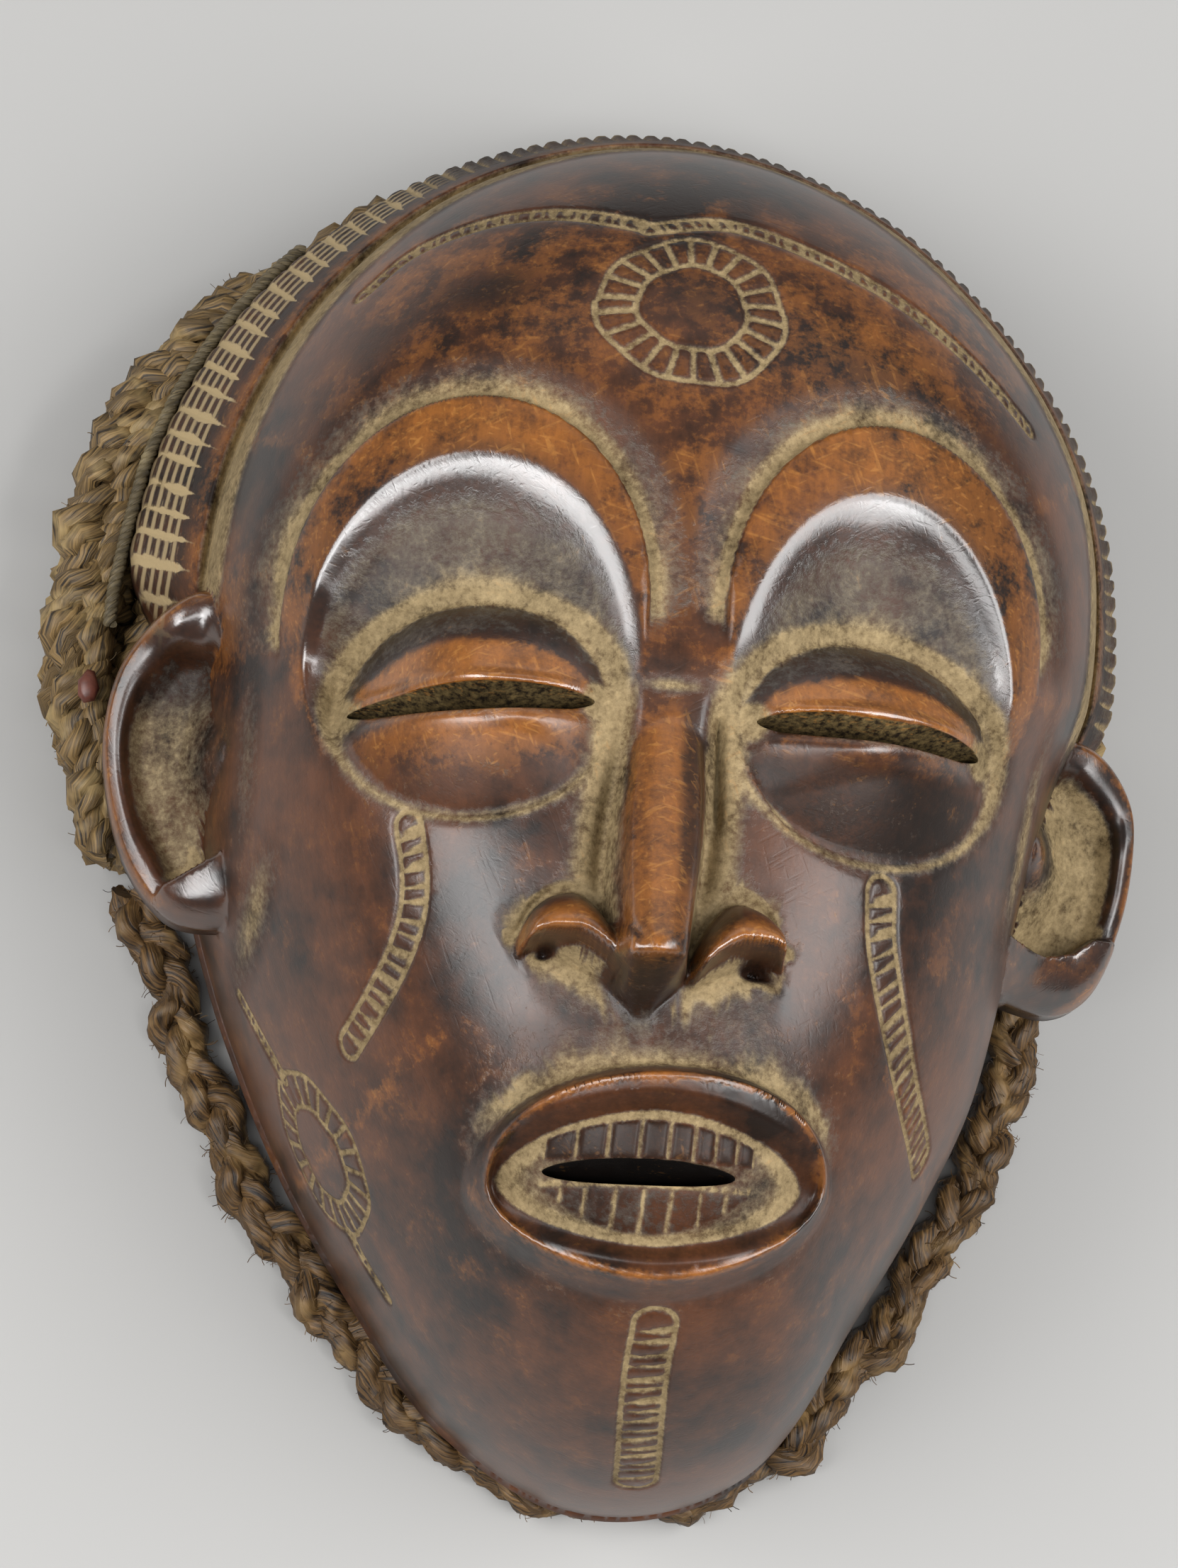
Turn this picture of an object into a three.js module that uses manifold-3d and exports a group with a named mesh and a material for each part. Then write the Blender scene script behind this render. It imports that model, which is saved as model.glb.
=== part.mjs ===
// Carved wooden face mask of a woman, with a knotted fibre coiffure and a fibre braid under the jaw.
// It lies on its back: +Z out of the face, +Y towards the crown, +X towards the left of the wearer.
// Millimetres. The wood is modelled in its own frame, whose z = 0 is the plane of the back rim,
// and then laid down with the forehead raised on the coiffure and the chin on the braid.
import * as THREE from "three";
import { mergeVertices } from "three/addons/utils/BufferGeometryUtils.js";
import Module from "manifold-3d";

// Driving dimensions of the wood
const centre = { x: 2, y: -20 };                 // pole of the face, on the ridge of the nose
const headRadii = [                              // outline of the head, every 15 degrees from +X
  75, 83, 98, 115, 128, 138, 142, 137, 125, 110, 95, 85,
  81, 78, 78, 82, 90, 104, 114, 110, 92, 82, 77, 74];
const dome = { height: 97, fullness: 3, roundness: 0.5, bandFullness: 4, bandRoundness: 0.78 };
const hollow = { height: 78, wall: 8.5, fullness: 3 };
const muzzle = { x: 0, y: -84, rx: 32, ry: 29, rise: 9 };
const band = { width: 11.5, widthLeft: 17.5, grooveZ: 33, edgeZ: 10, proud: 3 };
const edge = { width: 0.8, high: 2, low: 0.8 };  // rim of the jaw, where there is no band
const brows = [
  { x: -36, y: 17.5, rx: 31, ry: 36.8, dish: { x: -36, y: 11, rx: 27.8, ry: 31 } },
  { x: 38.5, y: 17.5, rx: 29.5, ry: 36.5, dish: { x: 36.2, y: 10.8, rx: 27, ry: 30.7 } }];
const browCut = {
  depth: 2.4, reach: 11, spread: 7, clear: 0.6, from: -14, to: 194, sections: 26, fade: 4 };
const dishDepth = 12.5;
const eyes = [
  {
    x: -33.6, y: -2, rx: 22.6, ry: 19.3, tilt: 2,
    slit: { x: -35, y: -1.1, half: 21.6, high: 5.8, tilt: 1.5 } },
  {
    x: 35, y: -5.2, rx: 23.6, ry: 19.6, tilt: -6,
    slit: { x: 34.6, y: -2.6, half: 22.4, high: 6.6, tilt: -1 } }];
const eyeBulge = 11;
const nose = {
  topX: 0.1, tipX: -3.7, half: 4.9, halfTip: 4.4, swell: 1.4, flank: 3.6, flankTip: 4.6,
  start: -3.5, rise: 31, round: 1.4, sink: 5,
  fall: [                                        // y and how far the ridge has dropped there
    [2.5, 0], [-8, 0], [-20, 0], [-32, 0], [-42, 0], [-48, 1], [-50, 7], [-54, 16], [-59, 27]],
  tip: -48, narrow: 0.07, draw: 0.08 };
const wings = [{ x: -16, y: -40.8, rx: 8.4, ry: 7.2 }, { x: 12.6, y: -41, rx: 7.7, ry: 7.2 }];
const wing = { base: 1, rise: 13.5, holeTop: 1.2, holeLength: 9, holeWide: 5.4, holeHigh: 5.5, holeLift: 5 };
const mouth = {
  x: 1.2, y: -82.6, rx: 28.3, ry: 16, tilt: 2,
  slit: { x: -2.4, y: -81.5, half: 15.6, high: 3.8, tilt: 0 } };
const lips = {
  squareness: 1.9, rise: 9, inside: 5, flank: 1.16, innerFrom: 0.92, innerTo: 0.66,
  levels: [0.4, 0.66, 0.78, 0.9, 0.97, 1.02, 1.08, 1.16] };
const ears = [
  { centre: [-83, -2, 30], lobeTop: -14, outline: [
    [-78, 28, 32], [-86, 26, 30], [-94, 17, 26], [-97, 5, 24], [-96, -7, 22], [-92, -20, 20],
    [-86, -29, 20], [-80, -33, 24], [-71, -33, 33], [-69, -26, 37], [-71, -12, 40], [-73, 8, 38]] },
  { centre: [84, -13, 28], lobeTop: -22, outline: [
    [83, 13, 30], [74, 6, 36], [71, -10, 40], [69, -24, 38], [68, -35, 34], [75, -37, 24],
    [85, -37, 17], [92, -32, 16], [97, -18, 18], [98, -5, 22], [97, 4, 22], [91, 11, 26]] }];
const ear = { rim: 3.2, dish: 5, thick: 9, lobe: 8 };

// Driving dimensions of the fibre and of the pose
const tilt = 3.9;                                // degrees that the crown is raised
const lift = 19.9;                               // height of the wood's own origin above the table
const place = { x: 5.7, y: -0.6 };
const gap = 0.3;                                 // clearance between pieces that touch
const roll = {
  from: 178, to: 2, inner: 12, flush: 1, left: 14.6, right: 2, bulge: 5.5, corner: 4, channel: 3.4,
  endSize: 0.45, endGrowth: 4.5, sections: 48 };
const braid = { diameter: 10.4, clear: 0.05, sides: 8, steps: 46 };
const braidRoute = [
  [-88.5, -20], [-87, -25], [-84, -32], [-79, -42], [-75, -53], [-70, -65], [-63, -77], [-55, -88],
  [-46, -99], [-37, -109], [-27, -119], [-15, -126], [-2, -129], [12, -129.5], [25, -127], [36, -121],
  [46, -112], [55, -101], [63, -89], [70, -77], [76, -64], [80, -51], [83, -38], [85, -27], [85.5, -20]];
const lacing = { from: 154, to: 118, radius: 1.3, points: 12, sides: 6, steps: 20 };
const peg = { angle: 161, inset: 8, long: 3.6, wide: 2.4, deep: 2.4 };

// Grid sizes
const sectors = 60;
const faceRings = 17;
const bandRings = [0, 0.1, 0.5, 0.9, 0.97];
const hollowSectors = 36;
const hollowRings = [0.3, 0.58, 0.76, 0.88, 0.96, 1];
const patchSectors = 24;
const deep = 45;                                 // underside of a form that is joined to the head
const above = 150;                               // top of a form that is cut from the head
const cutPast = 30;                              // how far a cut runs on past the surface

const rad = Math.PI / 180;
const clamp = (v, low, high) => Math.min(high, Math.max(low, v));
const mix = (a, b, k) => a + (b - a) * k;

function step(from, to, v) {
  const k = clamp((v - from) / (to - from), 0, 1);
  return k * k * (3 - 2 * k);
}

const bell = (v) => Math.exp(-v * v);

// Smooth closed outline through the stated radii
function headRadius(deg) {
  const n = headRadii.length;
  const u = (((deg % 360) + 360) % 360) / (360 / n);
  const i = Math.floor(u);
  const t = u - i;
  const [a, b, c, d] = [-1, 0, 1, 2].map((k) => headRadii[(i + k + n) % n]);
  return b + 0.5 * t * (c - a + t * (2 * a - 5 * b + 4 * c - d + t * (3 * (b - c) + d - a)));
}

// The carved hair band runs round the forehead from ear to ear
const degreesOf = (angle) => (((angle / rad) % 360) + 360) % 360;
const bandWeight = (deg) => step(13, 25, deg) * (1 - step(147, 158, deg));
const bandWidth = (deg) => mix(band.width, band.widthLeft, step(95, 138, deg));

function rimRadius(deg) {
  return headRadius(deg) + Math.max(edge.width, bandWidth(deg) * bandWeight(deg));
}

// The line the fibre follows behind the rim: it keeps its sweep where the band gives way to an ear
function crownRadius(deg) {
  return headRadius(deg) + bandWidth(deg) * step(-4, 25, deg) * (1 - step(150, 195, deg));
}

// Height of the plain dome at a plan position, before any carving. Beside the hair band it comes down
// at a slope, so that the groove stays open, and elsewhere it drops straight
function domeHeight(x, y) {
  const dx = x - centre.x;
  const dy = y - centre.y;
  const deg = degreesOf(Math.atan2(dy, dx));
  const foot = mix(0, band.grooveZ, bandWeight(deg));
  const r = Math.min(1, Math.hypot(dx, dy) / headRadius(deg));
  const fullness = mix(dome.fullness, dome.bandFullness, bandWeight(deg));
  const roundness = mix(dome.roundness, dome.bandRoundness, bandWeight(deg));
  return foot + (dome.height - foot) * (1 - r ** fullness) ** roundness;
}

const ellipse = (x, y, o) => Math.hypot((x - o.x) / o.rx, (y - o.y) / o.ry);

// The head with its muzzle, still without sockets
const plainHeight = (x, y) => domeHeight(x, y) + muzzle.rise * bell(ellipse(x, y, muzzle));

const dishDrop = (x, y) =>
  brows.reduce((sum, b) => sum + dishDepth * step(1.03, 0.45, ellipse(x, y, b.dish)) ** 0.85, 0);

// One point of the outer grid: face rings run to the outline of the head, band rings on to the rim
function outerPoint(angle, ring) {
  const deg = degreesOf(angle);
  const head = headRadius(deg);
  const rim = rimRadius(deg);
  const at = (r) => [centre.x + r * Math.cos(angle), centre.y + r * Math.sin(angle)];
  if (ring < faceRings) {
    const t = ring / faceRings;
    const [x, y] = at(head * t * (1 + 0.35 * (1 - t)));
    return [x, y, Math.max(edge.high, plainHeight(x, y))];
  }
  const s = bandRings[ring - faceRings];
  const slope = mix(band.grooveZ + band.proud, band.edgeZ, s);
  const strap = s === 0 ? band.grooveZ : slope - (s > 0.9 ? 3 : 0);
  const [x, y] = at(mix(head, rim, s));
  return [x, y, mix(mix(edge.high, edge.low, s), strap, bandWeight(deg))];
}

function wallPoint(angle, fraction) {
  const deg = degreesOf(angle);
  const r = (headRadius(deg) - hollow.wall + 0.5 * bandWidth(deg) * bandWeight(deg)) * fraction;
  const z = hollow.height * Math.sqrt(Math.max(0, 1 - fraction ** hollow.fullness));
  return [centre.x + r * Math.cos(angle), centre.y + r * Math.sin(angle), z];
}

// Closed surface from rings of points, with one point at each end
function closedSurface(rings, first, last) {
  const n = rings[0].length;
  const points = [first, ...rings.flat(), last];
  const faces = [];
  const at = (ring, i) => 1 + ring * n + (i % n);
  for (let i = 0; i < n; i += 1) {
    faces.push(0, at(0, i), at(0, i + 1));
    faces.push(points.length - 1, at(rings.length - 1, i + 1), at(rings.length - 1, i));
    for (let k = 0; k + 1 < rings.length; k += 1) {
      faces.push(at(k, i), at(k + 1, i), at(k + 1, i + 1));
      faces.push(at(k, i), at(k + 1, i + 1), at(k, i + 1));
    }
  }
  const geometry = new THREE.BufferGeometry();
  geometry.setAttribute("position", new THREE.Float32BufferAttribute(points.flat(), 3));
  geometry.setIndex(faces);
  return geometry;
}

// Sweep of closed sections, capped flat at both ends
function sweep(sections) {
  const middle = (ring) => ring.reduce((sum, p) => sum.map((v, k) => v + p[k] / ring.length), [0, 0, 0]);
  return closedSurface(sections, middle(sections[0]), middle(sections[sections.length - 1]));
}

const circle = (count) => Array.from({ length: count }, (_, i) => (2 * Math.PI * i) / count);

// The whole head as if it were not hollow, cut flat at the back
function headSolid() {
  const angles = circle(sectors);
  const rings = [];
  for (let ring = 1; ring < faceRings + bandRings.length; ring += 1) {
    rings.push(angles.map((a) => outerPoint(a, ring)));
  }
  rings.push(angles.map((a) => {
    const r = rimRadius(degreesOf(a));
    return [centre.x + r * Math.cos(a), centre.y + r * Math.sin(a), 0];
  }));
  return closedSurface(rings, [centre.x, centre.y, plainHeight(centre.x, centre.y)], [centre.x, centre.y, 0]);
}

// The space behind the face, carried down past the back rim
function hollowSolid() {
  const angles = circle(hollowSectors);
  const rings = hollowRings.map((fraction) => angles.map((a) => wallPoint(a, fraction)));
  rings.push(rings[rings.length - 1].map(([x, y]) => [x, y, -cutPast]));
  return closedSurface(rings, [centre.x, centre.y, hollow.height], [centre.x, centre.y, -cutPast]);
}

// A form with an oval outline: its face follows height(x, y, e), its other side is flat
function ovalForm(o, levels, height, flat, count = patchSectors) {
  const c = Math.cos((o.tilt ?? 0) * rad);
  const s = Math.sin((o.tilt ?? 0) * rad);
  const power = 2 / (o.squareness ?? 2);
  const rounded = (v) => Math.sign(v) * Math.abs(v) ** power;
  const at = (a, e) => {
    const u = o.rx * rounded(Math.cos(a)) * e;
    const v = o.ry * rounded(Math.sin(a)) * e;
    return [o.x + u * c - v * s, o.y + u * s + v * c];
  };
  const ring = (e, z) => circle(count).map((a) => {
    const [x, y] = at(a, e);
    return [x, y, z ?? height(x, y, e)];
  });
  const rings = levels.map((e) => ring(e));
  rings.push(ring(levels[levels.length - 1], flat));
  const near = [o.x, o.y, height(o.x, o.y, 0)];
  const far = [o.x, o.y, flat];
  return flat < near[2] ? closedSurface(rings, near, far) : closedSurface(rings.reverse(), far, near);
}

const socketCutter = (b) =>
  ovalForm(b.dish, [0.3, 0.5, 0.65, 0.78, 0.9, 1.04], (x, y) => plainHeight(x, y) - dishDrop(x, y), above);

const eyeForm = (o) =>
  ovalForm(o, [0.35, 0.6, 0.8, 0.92, 1], (x, y, e) =>
    plainHeight(x, y) - dishDrop(x, y) + eyeBulge * Math.sqrt(Math.max(0, 1 - e ** 2.2)), deep);

const wingForm = (o) =>
  ovalForm(o, [0.4, 0.7, 0.9, 1], (x, y, e) =>
    domeHeight(x, y) + wing.base + wing.rise * Math.sqrt(1 - e * e), deep, 16);

const mouthForm = () =>
  ovalForm({ ...mouth, squareness: lips.squareness }, lips.levels, (x, y, e) => {
    const crest = lips.rise * step(lips.flank, 1, e);
    return plainHeight(x, y) + crest - lips.inside * step(lips.innerFrom, lips.innerTo, e);
  }, deep, 32);

// The scoop above a brow, which ends in a sharp step along the arc of the brow
function browScoop(b) {
  const sections = [];
  for (let k = 0; k <= browCut.sections; k += 1) {
    const a = mix(browCut.from, browCut.to, k / browCut.sections) * rad;
    const fade = step(0, browCut.fade, Math.min(k, browCut.sections - k));
    const at = (out) => [b.x + (b.rx + out) * Math.cos(a), b.y + (b.ry + out) * Math.sin(a)];
    const floor = (out, clear = 0) => {
      const [x, y] = at(out);
      return [x, y, plainHeight(x, y) - browCut.depth * fade * bell(out / browCut.spread) + clear];
    };
    const top = (out) => [...at(out), above];
    const low = [floor(0), floor(3), floor(6), floor(browCut.reach, browCut.clear)];
    sections.push([...low, top(browCut.reach), top(0)]);
  }
  return sweep(sections);
}

// The nose from its bridge to its tip and down to the lip
function noseForm() {
  const [top] = nose.fall[0];
  return sweep(nose.fall.map(([y, drop]) => {
    const k = clamp((top - y) / (top - nose.tip), 0, 1);
    const middle = mix(nose.topX, nose.tipX, k);
    const half = mix(nose.half, nose.halfTip, k) + nose.swell * bell((k - 0.5) / 0.34) - drop * nose.narrow;
    const foot = half + mix(nose.flank, nose.flankTip, k) - drop * nose.draw;
    const ridge = dome.height + nose.start + nose.rise * k - drop;
    const base = Math.min(ridge - 1, plainHeight(middle, y) - nose.sink);
    return [
      [middle - foot, y, base], [middle - half, y, ridge - 1], [middle - half + nose.round, y, ridge],
      [middle + half - nose.round, y, ridge], [middle + half, y, ridge - 1], [middle + foot, y, base],
      [middle + foot, y, deep], [middle - foot, y, deep]];
  }));
}

// The arched opening under a wing of the nose
function nostril(w) {
  const hole = new THREE.CylinderGeometry(1, 1, wing.holeLength, 12);
  hole.scale(wing.holeWide, 1, wing.holeHigh);
  return hole.translate(w.x, w.y - wing.holeTop - wing.holeLength / 2, domeHeight(w.x, w.y) + wing.holeLift);
}

// An ear: a plate with a raised rim, a dished middle and a heavy lobe
function earSolid(o) {
  const curve = new THREE.CatmullRomCurve3(o.outline.map((p) => new THREE.Vector3(...p)), true);
  const outline = curve.getPoints(26).slice(0, -1);
  const middle = new THREE.Vector3(...o.centre);
  const front = (p, s) => {
    const lobe = ear.lobe * step(o.lobeTop, o.lobeTop - 5, p.y) * (1 - step(0.8, 1, s));
    const rim = ear.rim * bell((s - 0.86) / 0.12);
    return p.z + rim - ear.dish * step(0.82, 0.4, s) + lobe - (s > 0.99 ? 2 : 0);
  };
  const ring = (s, height) => outline.map((p) => {
    const q = middle.clone().lerp(p, s);
    return [q.x, q.y, height(q, s)];
  });
  const back = (p, s) => p.z - ear.thick + 2.5 * step(0.6, 1, s);
  const faces = [0.3, 0.6, 0.76, 0.86, 0.95, 1].map((s) => ring(s, front));
  const rings = [...faces, ring(1, back), ring(0.6, back)];
  return closedSurface(rings, [middle.x, middle.y, front(middle, 0)], [middle.x, middle.y, back(middle, 0)]);
}

// A slit bar along an eye or between the teeth, cut right through the wall
function slitBar(o) {
  const shape = new THREE.Shape();
  shape.absellipse(0, 0, o.half, o.high / 2, 0, 2 * Math.PI);
  const bar = new THREE.ExtrudeGeometry(shape, { depth: 120, bevelEnabled: false, curveSegments: 10 });
  bar.rotateZ((o.tilt ?? 0) * rad);
  bar.translate(o.x, o.y, 30);
  return bar;
}

const wasm = await Module();
wasm.setup();

function toSolid(geometry) {
  const bare = geometry.clone();
  bare.deleteAttribute("normal");
  bare.deleteAttribute("uv");
  const merged = mergeVertices(bare, 1e-4);
  return new wasm.Manifold(new wasm.Mesh({
    numProp: 3,
    vertProperties: new Float32Array(merged.attributes.position.array),
    triVerts: new Uint32Array(merged.index.array),
  }));
}

function toGeometry(solid) {
  const mesh = solid.getMesh();
  const geometry = new THREE.BufferGeometry();
  geometry.setAttribute("position", new THREE.BufferAttribute(new Float32Array(mesh.vertProperties), 3));
  geometry.setIndex(new THREE.BufferAttribute(new Uint32Array(mesh.triVerts), 1));
  geometry.computeVertexNormals();
  return geometry;
}

function carvedWood() {
  let wood = toSolid(headSolid());
  for (const b of brows) wood = wood.subtract(toSolid(browScoop(b)));
  for (const b of brows) wood = wood.subtract(toSolid(socketCutter(b)));
  const features = [...eyes.map(eyeForm), ...wings.map(wingForm), mouthForm(), ...ears.map(earSolid)];
  for (const form of features) wood = wood.add(toSolid(form));
  for (const w of wings) wood = wood.subtract(toSolid(nostril(w)));
  wood = wood.add(toSolid(noseForm()));
  const cuts = [hollowSolid(), ...eyes.map((o) => slitBar(o.slit)), slitBar(mouth.slit)];
  for (const cut of cuts) wood = wood.subtract(toSolid(cut));
  return toGeometry(wood);
}

// Height of the table under the wood, in the wood's own frame
const tableZ = (y) => -(lift + y * Math.sin(tilt * rad)) / Math.cos(tilt * rad);

// How far the coiffure stands out past the rim: much at the left, hardly at all over the crown
const rollProud = (deg) => mix(roll.flush, roll.left, step(98, 146, deg)) + roll.right * step(30, 12, deg);

// The roll of knotted fibre behind the rim, from ear to ear, resting on the table
function coiffure() {
  const sections = [];
  for (let k = 0; k <= roll.sections; k += 1) {
    const deg = mix(roll.from, roll.to, k / roll.sections);
    const angle = deg * rad;
    const ends = Math.min(1, roll.endSize + roll.endGrowth * Math.min(k, roll.sections - k) / roll.sections);
    const proud = rollProud(deg) * ends;
    const bulge = roll.bulge * step(6, 13, proud);
    const channel = Math.min(roll.channel, proud / 2);
    const crown = crownRadius(deg);
    const low = mix(-gap, tableZ(centre.y + crown * Math.sin(angle)), ends);
    const part = (fraction) => mix(-gap, low, fraction);
    const profile = [
      [-roll.inner, part(0.3)], [-roll.inner + roll.corner, -gap], [channel, -gap],
      [mix(channel, proud, 0.35), bulge * 0.7 - gap], [mix(channel, proud, 0.75), bulge - gap],
      [proud, part(0.25)], [proud, part(0.8)],
      [proud - roll.corner, low], [-roll.inner + roll.corner, low], [-roll.inner, part(0.8)]];
    sections.push(profile.map(([r, z]) => {
      const x = centre.x + (crown + r) * Math.cos(angle);
      const y = centre.y + (crown + r) * Math.sin(angle);
      return [x, y, z === low ? Math.max(z, tableZ(y)) : z];
    }));
  }
  return sweep(sections);
}

function tube(points, radius, sides, steps) {
  const path = new THREE.CatmullRomCurve3(points.map((p) => new THREE.Vector3(...p)));
  const round = circle(sides).map((a) => new THREE.Vector2(radius * Math.cos(a), radius * Math.sin(a)));
  const section = new THREE.Shape(round);
  return new THREE.ExtrudeGeometry(section, { steps, extrudePath: path, bevelEnabled: false });
}

function jawBraid() {
  const radius = braid.diameter / 2;
  const points = braidRoute.map(([x, y]) => [x, y, tableZ(y) + radius + braid.clear]);
  return tube(points, radius, braid.sides, braid.steps);
}

function rimLacing() {
  const points = [];
  for (let k = 0; k <= lacing.points; k += 1) {
    const deg = mix(lacing.from, lacing.to, k / lacing.points);
    const angle = deg * rad;
    const r = crownRadius(deg) + lacing.radius + gap;
    points.push([centre.x + r * Math.cos(angle), centre.y + r * Math.sin(angle), lacing.radius + gap]);
  }
  return tube(points, lacing.radius, lacing.sides, lacing.steps);
}

function pegSolid() {
  const shape = new THREE.Shape();
  shape.absellipse(0, 0, peg.wide, peg.long, 0, 2 * Math.PI);
  return new THREE.ExtrudeGeometry(shape, { depth: peg.deep, bevelEnabled: false, curveSegments: 8 });
}

function named(name, geometry, color, roughness) {
  const material = new THREE.MeshStandardMaterial({ color, roughness, metalness: 0 });
  const mesh = new THREE.Mesh(geometry, material);
  mesh.name = name;
  return mesh;
}

const laidDown = new THREE.Group();
laidDown.rotation.x = tilt * rad;
laidDown.position.set(place.x, place.y, lift);
laidDown.add(named("mask", carvedWood(), 0x4f3020, 0.38));
laidDown.add(named("fibre_coiffure", coiffure(), 0x5e4b33, 0.9));
laidDown.add(named("jaw_braid", jawBraid(), 0x5f4f3a, 0.9));
laidDown.add(named("rim_cord", rimLacing(), 0x6b5a40, 0.9));
const pegMesh = named("peg", pegSolid(), 0x81553e, 0.6);
const pegAngle = peg.angle * rad;
const pegReach = crownRadius(peg.angle) + rollProud(peg.angle) - peg.inset;
pegMesh.position.set(
  centre.x + pegReach * Math.cos(pegAngle), centre.y + pegReach * Math.sin(pegAngle), roll.bulge);
laidDown.add(pegMesh);

const part = new THREE.Group();
part.add(laidDown);

export default part;
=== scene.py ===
# A carved wooden face mask with a knotted fibre coiffure, lying on its back on a pale floor
import bpy
import math
from functools import partial
import numpy as np
from mathutils import Matrix, Vector
from mathutils.kdtree import KDTree


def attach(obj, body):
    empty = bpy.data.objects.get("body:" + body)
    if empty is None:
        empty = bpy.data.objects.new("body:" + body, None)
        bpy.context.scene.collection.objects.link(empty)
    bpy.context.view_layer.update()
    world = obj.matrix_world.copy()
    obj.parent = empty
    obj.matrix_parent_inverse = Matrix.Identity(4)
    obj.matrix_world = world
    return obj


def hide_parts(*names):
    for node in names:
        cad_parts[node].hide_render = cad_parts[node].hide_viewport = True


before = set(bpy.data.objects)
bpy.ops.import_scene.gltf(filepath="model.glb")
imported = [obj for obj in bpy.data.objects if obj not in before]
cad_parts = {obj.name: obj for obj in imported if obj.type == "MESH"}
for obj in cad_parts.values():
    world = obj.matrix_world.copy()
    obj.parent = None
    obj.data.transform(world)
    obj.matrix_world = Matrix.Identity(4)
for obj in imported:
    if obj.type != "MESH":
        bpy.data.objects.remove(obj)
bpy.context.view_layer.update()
print("frame loaded:", ", ".join(sorted(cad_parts)))

# How the wood lies in the frame: millimetres of its own back rim, tipped and lifted
pose = {"tilt": 3.9, "lift": 19.9, "x": 5.7, "y": -0.6}
tipped = Matrix.Rotation(math.radians(pose["tilt"]), 4, "X")
laidDown = Matrix.Translation((pose["x"], pose["y"], pose["lift"])) @ tipped
laidDown = Matrix.Scale(0.001, 4) @ laidDown


def toRow(points):
    turned = np.array(laidDown.to_3x3())
    return np.asarray(points, float) @ turned.T + np.array(laidDown.translation)


# Camera, as the photograph was taken: distances in millimetres from the aim point in the wood
photo = {"width": 1662, "height": 2212, "yaw": 6, "pitch": 12, "roll": 2.8,
         "distance": 800, "aim": (-10.2, -8, 60), "pixelsPerMm": 7.9, "sensor": 36}


def makeCamera():
    yaw, pitch = math.radians(photo["yaw"]), math.radians(photo["pitch"])
    back = Vector((-math.sin(yaw) * math.cos(pitch), -math.sin(pitch), math.cos(yaw) * math.cos(pitch)))
    right = Vector((0, 1, 0)).cross(back).normalized()
    level = Matrix((right, back.cross(right), back)).transposed()
    turned = level @ Matrix.Rotation(math.radians(photo["roll"]), 3, "Z")
    place = Vector(photo["aim"]) + back * photo["distance"]
    data = bpy.data.cameras.new("camera")
    data.sensor_width = photo["sensor"]
    data.lens = photo["sensor"] * photo["pixelsPerMm"] * photo["distance"] / photo["height"]
    data.clip_end = 50
    camera = bpy.data.objects.new("camera", data)
    placed = laidDown @ (Matrix.Translation(place) @ turned.to_4x4())
    camera.matrix_world = Matrix.LocRotScale(placed.translation, placed.to_quaternion(), (1, 1, 1))
    bpy.context.collection.objects.link(camera)
    bpy.context.scene.camera = camera
    # plain tones, as the photograph has
    bpy.context.scene.view_settings.view_transform = "Standard"


makeCamera()
print("camera placed")


# Small shaping functions, all on whole arrays
def ease(start, end, v):
    k = np.clip((np.asarray(v, float) - start) / (end - start), 0, 1)
    return k * k * (3 - 2 * k)


def bell(v):
    return np.exp(-np.square(v))


def mix(a, b, k):
    return a + (b - a) * k


def smoothMax(a, b, width):
    k = np.clip(0.5 + 0.5 * (a - b) / width, 0, 1)
    return mix(b, a, k) + width * k * (1 - k)


# The head: one dome inside the measured outline, with the carved hair band outside it
head = {"pole": (2, -20), "height": 97, "fullness": 3, "rings": 270, "arc": (108, 88), "floor": 2,
        "radii": [75, 83, 98, 115, 128, 138, 142, 137, 125, 110, 95, 85,
                  81, 78, 78, 82, 90, 104, 114, 110, 92, 82, 77, 74],
        "muzzle": {"x": 0, "y": -84, "rx": 32, "ry": 29, "rise": 9}}
band = {"width": 11.5, "widthLeft": 17.5, "grooveZ": 33, "edgeZ": 10, "proud": 3, "rows": 44,
        "edgeDrop": 3, "grooveDeep": 5, "grooveAt": 0.02, "grooveWide": 0.07, "cutDown": 0.8, "cutIn": 0.6}


# Smooth curve through b and c, with a before and d after them
def spline(a, b, c, d, t):
    return b + 0.5 * t * (c - a + t * (2 * a - 5 * b + 4 * c - d + t * (3 * (b - c) + d - a)))


def headRadius(deg):
    radii = np.array(head["radii"], float)
    count = len(radii)
    u = (np.asarray(deg) % 360) / (360 / count)
    i = np.floor(u).astype(int) % count
    t = u - np.floor(u)
    return spline(*[radii[(i + k) % count] for k in (-1, 0, 1, 2)], t)


def bandWeight(deg):
    return ease(13, 25, deg) * (1 - ease(147, 158, deg))


def bandWidth(deg):
    return mix(band["width"], band["widthLeft"], ease(95, 138, deg))


# Beside the hair band the dome comes down at a slope, so that the groove stays open.
# At the jaw it drops straight
def domeProfile(rho, weight):
    return (1 - rho ** mix(3, 4, weight)) ** mix(0.5, 0.78, weight)


def domeHeight(x, y):
    dx, dy = x - head["pole"][0], y - head["pole"][1]
    deg = np.degrees(np.arctan2(dy, dx)) % 360
    weight = bandWeight(deg)
    foot = band["grooveZ"] * weight
    rho = np.minimum(1, np.hypot(dx, dy) / headRadius(deg))
    return foot + (head["height"] - foot) * domeProfile(rho, weight)


# Place along and across a form, and for an oval the share of the way to its edge
def placeOn(x, y, form):
    a = math.radians(form.get("tilt", 0))
    dx, dy = x - form["x"], y - form["y"]
    return dx * math.cos(a) + dy * math.sin(a), dy * math.cos(a) - dx * math.sin(a)


def ovalOf(x, y, form):
    u, v = placeOn(x, y, form)
    return u, v, np.hypot(u / form["rx"], v / form["ry"])


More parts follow.
